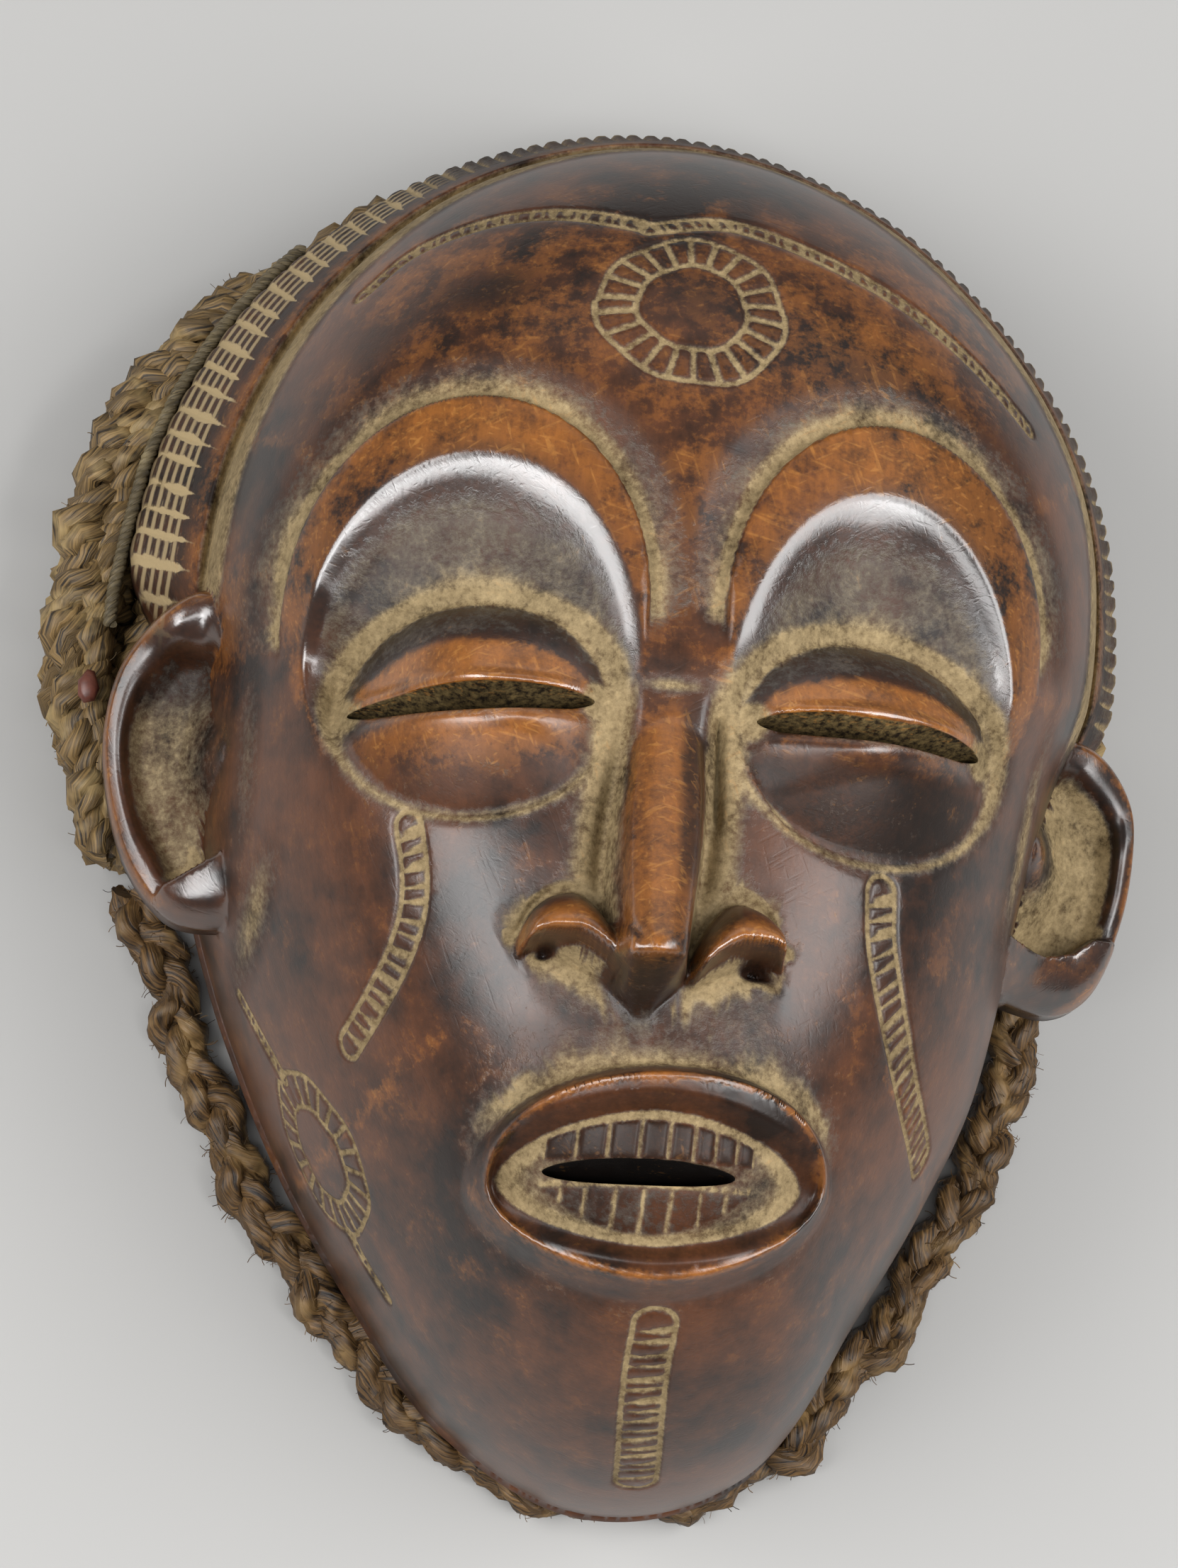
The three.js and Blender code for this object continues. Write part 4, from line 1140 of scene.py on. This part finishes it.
# Oiled hardwood, carved by hand and rubbed by use: near black to orange, earth left in its hollows,
# and pale bars and fine strokes across the hair band
def oiledWood():
    material, add = newMaterial("oiled carved wood")
    layer = add("Attribute", attribute_name="earth")
    earth, handled, shaded = add("SeparateColor", layer.outputs["Color"]).outputs
    place = add("TexCoord").outputs["Object"]
    clouds = add("TexNoise", place, 28.0, 5.0, 0.6)
    patches = add("TexNoise", place, 120.0, 6.0, 0.66)
    fine = add("TexNoise", place, 800.0, 4.0, 0.7)
    long = add("Mapping", place, ("Rotation", (0, 0, 0.12)), ("Scale", (1.0, 0.1, 1.0)))
    grain = add("TexNoise", long, 1000.0, 3.0, 0.6)
    scratches = None
    # fine strokes left by use, three ways
    for turn in (-1.05, 0.35, 1.3):
        turned = add("Mapping", place, ("Rotation", (0, 0, turn)), ("Scale", (1, 12, 1)),
                     vector_type="TEXTURE")
        strokes = add("TexNoise", turned, 1100.0, 1.0)
        strokes = add("MapRange", strokes, 0.63, 0.72)
        if scratches:
            strokes = add("Math MAXIMUM", scratches, strokes)
        scratches = strokes
    tone = add("Math MULTIPLY_ADD", patches, 0.6, clouds)
    tone = add("MapRange", tone, 0.66, 0.94)
    base = add("Mix", tone, linear("#1c1009"), linear("#54301a"), **colours)
    mottle = add("Math MULTIPLY_ADD", fine, 0.55, patches)
    mottle = add("Math MULTIPLY_ADD", mottle, 2.4, -1.86)
    wear = add("Math ADD", handled, mottle)
    wear = add("MapRange", wear, 0.2, 1.3)
    worn = add("Mix", wear, base, linear("#915822"), **colours)
    # The dark layer: darker wood, and painted shade under the nose, in the nostrils, under the wing crests
    # and on the right flank of the nose
    shade = add("Math ADD", shaded, mottle)
    shade = add("MapRange", shade, 0.25, 1.0, 0, 0.85)
    dark = add("Mix", shade, worn, linear("#1b120d"), **colours)
    streak = add("MapRange", grain, 0.3, 0.7, 0.86, 1.12)
    toned = add("Mix", 1.0, dark, streak, **colours, blend_type="MULTIPLY")
    specks = add("Math ADD", fine, patches)
    speckle = add("Math SUBTRACT", specks, 1.0)
    earthy = add("Math ADD", earth, speckle)
    earthy = add("MapRange", earthy, 0.3, 0.86, 0, 0.92)
    # Light earth turns grey: grey dust, and in the sockets a painted sheen
    greyDustAndSheen = add("MapRange", earth, 0.4, 0.75)
    grit = add("MapRange", specks, 0.65, 1.35)
    dusty = add("Mix", grit, linear("#57472e"), linear("#ab966f"), **colours)
    dusty = add("Mix", greyDustAndSheen, linear("#57514a"), dusty, **colours)
    dirty = add("Mix", earthy, toned, dusty, **colours)
    strap = add("Attribute", attribute_name="strap")
    strapX, strapY, strapOn = add("SeparateXYZ", strap.outputs["Vector"]).outputs
    along = add("Math PINGPONG", strapX, 0.5)
    wander = add("Math MULTIPLY_ADD", patches, 0.6, -0.3)
    along = add("Math ADD", along, wander)
    point = add("MapRange", strapY, 0.33, 0.52, 0, 0.165)
    taper = add("MapRange", strapY, 0.6, 1.0, 0, 0.06)
    point = add("Math SUBTRACT", point, taper)
    bars = add("Math SUBTRACT", 0.5, along)
    bars = add("Math SUBTRACT", point, bars)
    bars = add("MapRange", bars, -0.02, 0.03)
    lanes = add("Math MULTIPLY_ADD", strapY, 19.0, wander)
    lanes = add("Math PINGPONG", lanes, 1.0)
    lanes = add("MapRange", lanes, 0.42, 0.72, 0, 0.75)
    within = add("MapRange", strapY, 0.4, 0.46)
    lanes = add("Math MULTIPLY", lanes, within)
    bars = add("Math MAXIMUM", bars, lanes)
    bars = add("Math MULTIPLY", bars, strapOn)
    dirty = add("Mix", bars, dirty, linear("#ab9670"), **colours)
    depth = add("Attribute", attribute_name="slit").outputs["Fac"]
    packed = add("MapRange", fine, 0.38, 0.66)
    packed = add("Mix", packed, linear("#1d150c"), linear("#6e5c3a"), **colours)
    lids = add("MapRange", depth, 0.25, 0.6)
    dirty = add("Mix", lids, dirty, packed, **colours)
    # The walls of the mouth slit are painted near black: painted shade in the opening
    throat = add("MapRange", depth, -0.25, -0.6)
    dirty = add("Mix", throat, dirty, linear("#0d0806"), **colours)
    scraped = add("Math MULTIPLY", scratches, wear)
    scraped = add("Math MULTIPLY", scraped, 0.5)
    final = add("Mix", scraped, dirty, linear("#b27a3a"), **colours)
    gloss = add("Math SUBTRACT", 1.0, layer.outputs["Alpha"])
    gloss = add("Math POWER", gloss, 3.0)
    gloss = add("Math MULTIPLY_ADD", gloss, 0.24, 0.2)
    gloss = add("Math MULTIPLY_ADD", clouds, 0.06, gloss)
    matte = add("MapRange", earth, 0.1, 0.9)
    matte = add("Math MAXIMUM", matte, lids)
    rough = add("Mix", matte, gloss, 0.7)
    shine = add("MapRange", layer.outputs["Alpha"], 0.1, 0.6, 0.3, 1.4)
    shine = add("MapRange", matte, ("To Min", shine), ("To Max", 0.2))
    relief = add("Math MULTIPLY", fine, earthy)
    brushed = add("Mapping", place, ("Rotation", (0, 0, 0.9)), ("Scale", (1.0, 5.0, 1.0)),
                  vector_type="TEXTURE")
    brushed = add("TexNoise", brushed, 2200.0, 3.0, 0.7)
    height = add("Math MULTIPLY_ADD", patches, 0.3, relief)
    height = add("Math MULTIPLY_ADD", brushed, 0.1, height)
    height = add("Math MULTIPLY_ADD", scratches, -0.05, height)
    bump = add("Bump", ("Height", height), ("Strength", 0.4), ("Distance", 0.0005))
    shader = add("BsdfPrincipled", ("Base Color", final), ("Roughness", rough), ("Normal", bump),
                 ("Specular IOR Level", shine))
    add("OutputMaterial", shader)
    return material


mask.data.materials.clear()
mask.data.materials.append(oiledWood())
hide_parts("mask")
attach(mask, "root")


# Everything of fibre is laid along a path: a chain of points with the way its flat side faces.
# The yarns of a strand go round it once in this length, in metres
fibreLay = 0.021


def tableUnder(y):
    a = math.radians(pose["tilt"])
    return -(pose["lift"] + y * math.sin(a)) / math.cos(a)


def crownRadius(deg):
    return headRadius(deg) + bandWidth(deg) * ease(-4, 25, deg) * (1 - ease(150, 195, deg))


roll = {"from": 178, "to": 2, "flush": 1, "left": 14.6, "right": 2, "endSize": 0.45, "endGrowth": 4.5}


def rollProud(deg):
    return mix(roll["flush"], roll["left"], ease(98, 146, deg)) + roll["right"] * ease(30, 12, deg)


def runOf(line):
    return np.concatenate([[0], np.cumsum(np.linalg.norm(np.diff(line, axis=0), axis=1))])


# One object of loose edges: each path is (points, facing, girth), in metres
def pathObject(name, paths):
    points = np.vstack([p[0] for p in paths])
    facing = np.vstack([p[1] for p in paths])
    girth = np.concatenate([p[2] for p in paths])
    edges, at = [], 0
    for line, _, _ in paths:
        k = at + np.arange(len(line) - 1)
        edges.append(np.stack([k, k + 1], -1))
        at += len(line)
    mesh = bpy.data.meshes.new(name)
    mesh.from_pydata(points.tolist(), np.vstack(edges).tolist(), [])
    addValues(mesh, facing=facing, girth=girth)
    piece = bpy.data.objects.new(name, mesh)
    bpy.context.collection.objects.link(piece)
    return piece


# Strands laid along paths, plaited over and under or twisted round each other, with short hairs
def ropeTree():
    tree = bpy.data.node_groups.new("rope", "GeometryNodeTree")
    face = tree.interface
    face.new_socket("Geometry", in_out="INPUT", socket_type="NodeSocketGeometry")
    for name in ("Reach", "Rise", "Pitch", "Strand", "Spacing", "Fray", "Lumps", "Twisted", "Wander",
                 "Knots", "Hairs", "Hair"):
        face.new_socket(name, in_out="INPUT", socket_type="NodeSocketFloat")
    for name in ("Strands", "Sides", "Yarns", "Seed"):
        face.new_socket(name, in_out="INPUT", socket_type="NodeSocketInt")
    face.new_socket("Material", in_out="INPUT", socket_type="NodeSocketMaterial")
    face.new_socket("Geometry", in_out="OUTPUT", socket_type="NodeSocketGeometry")
    add = partial(addNode, tree)
    given = add("NodeGroupInput").outputs
    store, fetch = "GeometryNodeStoreNamedAttribute", "GeometryNodeInputNamedAttribute"
    line = add("GeometryNodeMeshToCurve", given["Geometry"])
    line = add("GeometryNodeResampleCurve", line, ("Length", given["Spacing"]), mode="LENGTH")
    stray = add("TexNoise", ("Scale", 90), ("Detail", 1.0)).outputs["Color"]
    stray = add("VectorMath SUBTRACT", stray, (0.5, 0.5, 0.5))
    stray = add("VectorMath SCALE", stray, given["Wander"])
    line = add("GeometryNodeSetPosition", line, ("Offset", stray))
    curve = add("GeometryNodeCurveOfPoint").outputs["Curve Index"]
    own = add("FunctionNodeRandomValue", ("ID", curve), ("Seed", given["Seed"]))
    line = add(store, line, ("Name", "rope"), ("Value", own))
    spread = add("GeometryNodeDuplicateElements", line, ("Amount", given["Strands"]), domain="SPLINE")
    share = add("Math DIVIDE", spread.outputs["Duplicate Index"], given["Strands"])
    run = add("GeometryNodeSplineParameter").outputs["Length"]
    turns = add("Math DIVIDE", run, given["Pitch"])
    rope = add(fetch, "rope")
    turns = add("Math ADD", turns, rope)
    turns = add("Math ADD", turns, share)
    phase = add("Math MULTIPLY", turns, math.tau)
    across = add("Math SINE", phase)
    twice = add("Math MULTIPLY", phase, 2.0)
    over = add("Math SINE", twice)
    circling = add("Math COSINE", phase)
    up = add("Mix", given["Twisted"], over, circling)
    facing = add(fetch, "facing", **vectors)
    girth = add(fetch, "girth")
    tangent = add("GeometryNodeInputTangent")
    side = add("VectorMath CROSS_PRODUCT", tangent, facing)
    side = add("VectorMath NORMALIZE", side)
    moves = []
    for way, amount, size in ((side, across, given["Reach"]), (facing, up, given["Rise"])):
        size = add("Math MULTIPLY", size, girth)
        amount = add("Math MULTIPLY", amount, size)
        moves.append(add("VectorMath SCALE", way, amount))
    move = add("VectorMath ADD", moves[0], moves[1])
    line = add(store, spread, ("Name", "along"), ("Value", run))
    line = add(store, line, ("Name", "strand"), ("Value", turns))
    line = add("GeometryNodeSetPosition", line, ("Offset", move))
    lumps = add("TexNoise", ("Scale", 130), ("Detail", 1.0))
    lumps = add("Math SUBTRACT", lumps, 0.5)
    lumps = add("Math MULTIPLY_ADD", lumps, given["Lumps"], 1.0)
    size = add("Math MULTIPLY", lumps, girth)
    line = add("GeometryNodeSetCurveRadius", line, ("Radius", size))
    ring = add("GeometryNodeCurvePrimitiveCircle", given["Sides"], given["Strand"])
    around = add("GeometryNodeSplineParameter").outputs["Factor"]
    ring = add(store, ring, ("Name", "around"), ("Value", around))
    body = add("GeometryNodeCurveToMesh", line, ring, ("Fill Caps", True))
    along = add(fetch, "along")
    around = add(fetch, "around")
    yarn = add("Math MULTIPLY", around, given["Yarns"])
    lay = add("Math MULTIPLY", along, 1 / fibreLay)
    yarn = add("Math ADD", yarn, lay)
    yarn = add("Math MULTIPLY", yarn, math.tau)
    yarn = add("Math SINE", yarn)
    rough = add("TexNoise", ("Scale", 900), ("Detail", 2.0))
    rough = add("Math MULTIPLY_ADD", rough, 3.0, -1.5)
    rough = add("Math ADD", rough, yarn)
    rough = add("Math MULTIPLY", rough, given["Fray"])
    knots = add("TexNoise", ("Scale", 263), ("Detail", 1.0))
    knots = add("Math SUBTRACT", knots, 0.5)
    rough = add("Math MULTIPLY_ADD", knots, given["Knots"], rough)
    push = add("VectorMath SCALE", add("GeometryNodeInputNormal"), rough)
    body = add("GeometryNodeSetPosition", body, ("Offset", push))
    body = add("GeometryNodeSetShadeSmooth", body)
    hair = add("GeometryNodeCurveQuadraticBezier", 4, (0, 0, -0.0004), (0.0002, 0, 0.001),
               (0.0016, 0.0006, 0.0014))
    thin = add("GeometryNodeCurvePrimitiveCircle", 3, given["Hair"])
    hair = add("GeometryNodeCurveToMesh", hair, thin)
    spots = add("GeometryNodeDistributePointsOnFaces", body, ("Density", given["Hairs"]),
                ("Seed", given["Seed"]))
    spin = add("FunctionNodeRandomValue", ("Min", (-0.5, -0.5, -3.1)), ("Max", (0.5, 0.5, 3.1)),
               ("Seed", 5), **vectors)
    spin = add("FunctionNodeRotateRotation", spots.outputs["Rotation"], spin, rotation_space="LOCAL")
    grow = add("FunctionNodeRandomValue", ("Min", (0.4, 0.4, 0.4)), ("Max", (1.2, 1.2, 1.2)),
               ("Seed", 6), **vectors)
    hairs = add("GeometryNodeInstanceOnPoints", ("Points", spots.outputs["Points"]), ("Instance", hair),
                ("Rotation", spin), ("Scale", grow))
    body = add("GeometryNodeJoinGeometry", ("Geometry", body), ("Geometry", hairs))
    body = add("GeometryNodeRealizeInstances", body)
    body = add("GeometryNodeSetMaterial", body, ("Material", given["Material"]))
    add("NodeGroupOutput", body)
    return tree


# Runs a node tree on a piece with its named inputs, and leaves a plain mesh
def applyTree(piece, tree, values):
    grow = piece.modifiers.new(tree.name, "NODES")
    grow.node_group = tree
    for item in tree.interface.items_tree:
        if item.in_out == "INPUT" and item.name in values:
            grow[item.identifier] = values[item.name]
    mesh = evaluated(piece)
    piece.modifiers.clear()
    piece.data = mesh
    return piece


# Raw bast fibre, twisted by hand, greasy and dusty: dull brown, lighter where the yarns stand up
def bastFibre(name, low, high, dust):
    material, add = newMaterial(name)
    place = add("TexCoord").outputs["Object"]
    along = add("Attribute", attribute_name="along").outputs["Fac"]
    around = add("Attribute", attribute_name="around").outputs["Fac"]
    lay = add("Math MULTIPLY", along, 1 / fibreLay)
    turned = add("Math ADD", around, lay)
    across = add("Math MULTIPLY", turned, 26.0)
    down = add("Math MULTIPLY", along, 160.0)
    sheet = add("CombineXYZ", across, down)
    hairs = add("TexNoise", sheet, 1.0, 3.0, 0.6)
    tone = add("TexNoise", place, 120.0, 3.0)
    strands = add("MapRange", hairs, 0.36, 0.66)
    colour = add("Mix", strands, linear(low), linear(high), **colours)
    patch = add("MapRange", tone, 0.54, 0.74)
    dusty = add("Mix", patch, colour, linear(dust), **colours)
    bump = add("Bump", ("Height", hairs), ("Strength", 0.7), ("Distance", 0.0005))
    shader = add("BsdfPrincipled", ("Base Color", dusty), ("Roughness", 0.55), ("Normal", bump))
    add("OutputMaterial", shader)
    return material


ropes = ropeTree()
braidFibre = bastFibre("twisted bast fibre", "#1a110a", "#73552f", "#8a6e45")
coifFibre = bastFibre("knotted bast fibre", "#1f160c", "#8f7347", "#a89062")
upward = np.array(laidDown.to_3x3()) @ np.array([0, 0, 1000.0])


# Free braid of the beard, from ear to ear under the jaw: 300 mm long, 10.4 mm across
jawBraid = {
    "diameter": 10.4, "clear": 0.05, "lump": 0.3, "lumpLength": 0.0135, "uneven": (1.3, 70),
    "sway": 0.0012,
    "route": [(-88.5, -20), (-87, -25), (-84, -32), (-79, -42), (-75, -53), (-70, -65), (-63, -77),
              (-55, -88), (-46, -99), (-37, -109), (-27, -119), (-15, -126), (-2, -129), (12, -129.5),
              (25, -127), (36, -121), (46, -112), (55, -101), (63, -89), (70, -77), (76, -64),
              (80, -51), (83, -38), (85, -27), (85.5, -20)],
    "plait": {"Reach": 0.0025, "Rise": 0.0014, "Pitch": 0.027, "Strand": 0.0024, "Spacing": 0.0008,
              "Fray": 0.00022, "Lumps": 1.4, "Twisted": 0.0, "Strands": 3, "Sides": 20, "Yarns": 7,
              "Seed": 3, "Wander": 0.004, "Knots": 0.0034, "Hairs": 90000.0, "Hair": 0.00009}}


def makeBraid():
    flat = np.array(jawBraid["route"], float)
    z = tableUnder(flat[:, 1]) + jawBraid["diameter"] / 2 + jawBraid["clear"]
    route = toRow(np.column_stack([flat, z]))
    line = smoothLine(route, 8)
    run = runOf(line)
    uneven, often = jawBraid["uneven"]
    turn = 2 * np.pi * run / jawBraid["lumpLength"] + uneven * np.sin(often * run)
    girth = 1 + jawBraid["lump"] * np.sin(turn)
    side = np.cross(np.gradient(line, axis=0), upward)
    side = side / np.linalg.norm(side, axis=1, keepdims=True)
    bent = line + side * (jawBraid["sway"] * np.sin(turn / 2))[:, None]
    piece = pathObject("jaw_braid_plait", [(bent, np.tile(upward, (len(line), 1)), girth)])
    applyTree(piece, ropes, {**jawBraid["plait"], "Material": braidFibre})
    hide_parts("jaw_braid")
    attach(piece, "root")


makeBraid()

# Coiffure behind the rim: ropes side by side round a core, from ear to ear.
# Each rope has its place in the section at the left and over the crown, and its size. A place is
# out from the rim and up from the back plane
coif = {"ropes": [
    ((11.2, -1.5), (-4.6, -6.5), 1), ((5.2, -1.2), (-5.5, -4.5), 0.66), ((11.4, -10), (-4.4, -13.5), 1),
    ((10.6, -16.5), (-4.6, -21.5), 1), ((2.5, -16.5), (-6, -21.5), 1), ((-6.3, -15), (-6.6, -20), 1),
    ((-6.3, -7), (-6.6, -9), 1), ((3, -8.5), (-5.6, -13), 1.5)],
    "points": 400, "deepLeft": -22.0, "deepCrown": -27.0, "endsFlat": 0.6, "endsThin": 0.75,
    # ropes lower than this lie on the floor, at this height for the lowest row
    "low": -12, "lowest": (-21.5, -16.5), "onFloor": 5.4,
    # each wave: how far, how many, and how much later on the next rope
    "waveOut": (0.7, 11, 80), "waveUp": (0.6, 13, 50), "waveKnots": (1.5, 75, 2),
    "knot": 0.0098, "necking": 0.4,
    "plait": {"Reach": 0.0024, "Rise": 0.0024, "Pitch": 0.0125, "Strand": 0.0023, "Spacing": 0.0016,
              "Fray": 0.0003, "Lumps": 1.4, "Twisted": 1.0, "Strands": 3, "Sides": 8, "Yarns": 4,
              "Seed": 11, "Wander": 0.007, "Knots": 0.005, "Hairs": 9000.0, "Hair": 0.00012}}


def sectionPlace(deg, out, up):
    return polar(deg, crownRadius(deg) + out, up)


def rollShare(deg):
    u = (deg - roll["to"]) / (roll["from"] - roll["to"])
    return np.minimum(1, roll["endSize"] + roll["endGrowth"] * np.minimum(u, 1 - u))


def makeCoiffure():
    deg = np.linspace(roll["from"] - 1.5, roll["to"] + 1.5, coif["points"])
    proud = rollProud(deg)
    k = np.maximum(np.clip((proud - 1) / 14, 0, 1), 0.22 * ease(98, 112, deg))
    ends = rollShare(deg)
    low = tableUnder(head["pole"][1] + crownRadius(deg) * np.sin(np.radians(deg)))
    paths = []
    for n, (left, crown, size) in enumerate(coif["ropes"]):
        out = mix(crown[0], left[0] + 0.12 * (proud - 15), k)
        deep = mix(coif["deepCrown"], coif["deepLeft"], k)
        up = mix(crown[1], left[1], k)
        raised = low + coif["onFloor"] + (up - mix(*coif["lowest"], k))
        flat = mix(coif["endsFlat"], 1, ends)
        far, often, later = coif["waveOut"]
        out = out * flat + far * np.sin(np.radians(deg * often + later * n))
        far, often, later = coif["waveUp"]
        up = np.where(up < coif["low"], raised, up) * flat
        up = up + far * np.cos(np.radians(deg * often + later * n))
        middle = sectionPlace(deg, out, up)
        centre = sectionPlace(deg, mix(-5.5, 2, k), deep / 2)
        facing = middle - centre
        facing /= np.linalg.norm(facing, axis=1, keepdims=True)
        line = toRow(middle)
        facing = facing @ (np.array(laidDown.to_3x3()) * 1000).T
        run = runOf(line)
        far, often, later = coif["waveKnots"]
        turn = 2 * np.pi * run / coif["knot"] + far * np.sin(often * run + later * n) + n
        knots = 1 + coif["necking"] * np.sin(turn)
        paths.append((line, facing, size * mix(coif["endsThin"], 1, ends) * knots))
    piece = pathObject("coiffure_ropes", paths)
    applyTree(piece, ropes, {**coif["plait"], "Material": coifFibre})
    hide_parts("fibre_coiffure")
    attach(piece, "root")
    print("coiffure", len(piece.data.polygons), "faces")


makeCoiffure()

# Thin twisted cord along the edge of the band at the upper left, and a chip of red wood set in the coiffure
lacing = {"from": 154, "to": 118, "out": 1.6, "up": 3.4, "points": 40,
          "twist": {"Reach": 0.0006, "Rise": 0.0006, "Pitch": 0.0028, "Strand": 0.0008,
                    "Spacing": 0.0003, "Fray": 0.00005, "Lumps": 0.3, "Twisted": 1.0, "Strands": 2,
                    "Sides": 8, "Yarns": 3, "Seed": 4, "Wander": 0.0008, "Knots": 0.0,
                    "Hairs": 0.0, "Hair": 0.0001}}
# The rings of the chip: share of the full size, and height
chip = {"angle": 161, "inset": 8, "long": 3.6, "wide": 2.4, "base": 5.5, "corners": 7,
        "rings": ((0.9, -0.6), (1.0, 1.5), (0.62, 2.2)), "tip": (0.2, 0.3, 2.4),
        "uneven": (0.88, 1.04), "unevenUp": 0.15, "unevenTurn": 0.2}


def makeLacing():
    deg = np.linspace(lacing["from"], lacing["to"], lacing["points"])
    line = toRow(sectionPlace(deg, lacing["out"] + 0 * deg, lacing["up"] + 0 * deg))
    piece = pathObject("rim_lacing", [(line, np.tile(upward, (len(line), 1)), 1 + 0 * deg)])
    fibre = bastFibre("grey-green twisted cord", "#3a3325", "#7d6e50", "#978763")
    applyTree(piece, ropes, {**lacing["twist"], "Material": fibre})
    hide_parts("rim_cord")
    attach(piece, "root")


# Dull red wood, darker in patches
def redWood():
    material, add = newMaterial("red wood")
    place = add("TexCoord").outputs["Object"]
    patches = add("TexNoise", place, 700.0, 3.0)
    colour = add("Mix", patches, linear("#3a1c16"), linear("#7f4838"), **colours)
    shader = add("BsdfPrincipled", ("Base Color", colour), ("Roughness", 0.4))
    add("OutputMaterial", shader)
    return material


def makeChip():
    random = np.random.default_rng(8)
    n = chip["corners"]
    turn = np.arange(n) / n * 2 * np.pi + random.uniform(-chip["unevenTurn"], chip["unevenTurn"], n)
    middle = sectionPlace(chip["angle"], float(rollProud(chip["angle"])) - chip["inset"], chip["base"])
    rings = []
    for size, up in chip["rings"]:
        spread = size * random.uniform(*chip["uneven"], n)
        across, along = chip["wide"] * spread * np.cos(turn), chip["long"] * spread * np.sin(turn)
        up = up + random.uniform(-chip["unevenUp"], chip["unevenUp"], n)
        rings.append(middle + np.stack([across, along, up], -1))
    rings.append(middle + np.array([chip["tip"]]))
    faces = np.vstack([ringFaces(np.arange(n), n, n)[:, ::-1],
                       ringFaces(n + np.arange(n), 2 * n, n)[:, ::-1]])
    k = np.arange(n)
    tris = np.vstack([np.stack([2 * n + k, 2 * n + np.roll(k, -1), np.full(n, 3 * n)], -1),
                      np.stack([np.zeros(n - 2, int), k[2:], k[1:-1]], -1)])
    piece = newMesh("chip", toRow(np.vstack(rings)), faces, tris)
    piece.data.materials.append(redWood())
    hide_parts("peg")
    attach(piece, "root")


makeLacing()
makeChip()
print("lacing and chip made")


# Pale floor, and soft boxes on the chin side, as the highlights of the photograph show.
# The crown side stays dim
def makeFloor():
    bpy.ops.mesh.primitive_plane_add(size=6)
    floor = bpy.context.object
    floor.name = "floor"
    material, add = newMaterial("grey paper")
    shader = add("BsdfPrincipled", ("Base Color", linear("#aaa9a7")), ("Roughness", 0.9))
    add("OutputMaterial", shader)
    floor.data.materials.append(material)


lights = {"distance": 1.2, "boxes": {
    "over the chin": {"azimuth": 268, "elevation": 72, "wide": 76, "high": 10, "radiance": 5.8},
    "left": {"azimuth": 192, "elevation": 48, "wide": 44, "high": 28, "radiance": 6.3},
    "right": {"azimuth": 345, "elevation": 51, "wide": 52, "high": 32, "radiance": 5.2},
    "behind the crown": {"azimuth": 80, "elevation": 38, "wide": 60, "high": 26, "radiance": 0.4}},
    "room": "#dfe3e9", "roomStrength": 0.18}


def makeLights():
    for name, form in lights["boxes"].items():
        turn, rise = math.radians(form["azimuth"]), math.radians(form["elevation"])
        way = Vector((math.cos(turn) * math.cos(rise), math.sin(turn) * math.cos(rise), math.sin(rise)))
        data = bpy.data.lights.new(name, "AREA")
        data.shape = "RECTANGLE"
        data.size = 2 * lights["distance"] * math.tan(math.radians(form["wide"] / 2))
        data.size_y = 2 * lights["distance"] * math.tan(math.radians(form["high"] / 2))
        data.energy = form["radiance"] * math.pi * data.size * data.size_y
        lamp = bpy.data.objects.new(name, data)
        lamp.location = way * lights["distance"]
        lamp.rotation_euler = (-way).to_track_quat("-Z", "Y").to_euler()
        bpy.context.collection.objects.link(lamp)
    world = bpy.data.worlds.new("soft room")
    bpy.context.scene.world = world
    world.use_nodes = True
    room = world.node_tree.nodes["Background"].inputs
    room["Color"].default_value = linear(lights["room"])
    room["Strength"].default_value = lights["roomStrength"]


makeFloor()
makeLights()
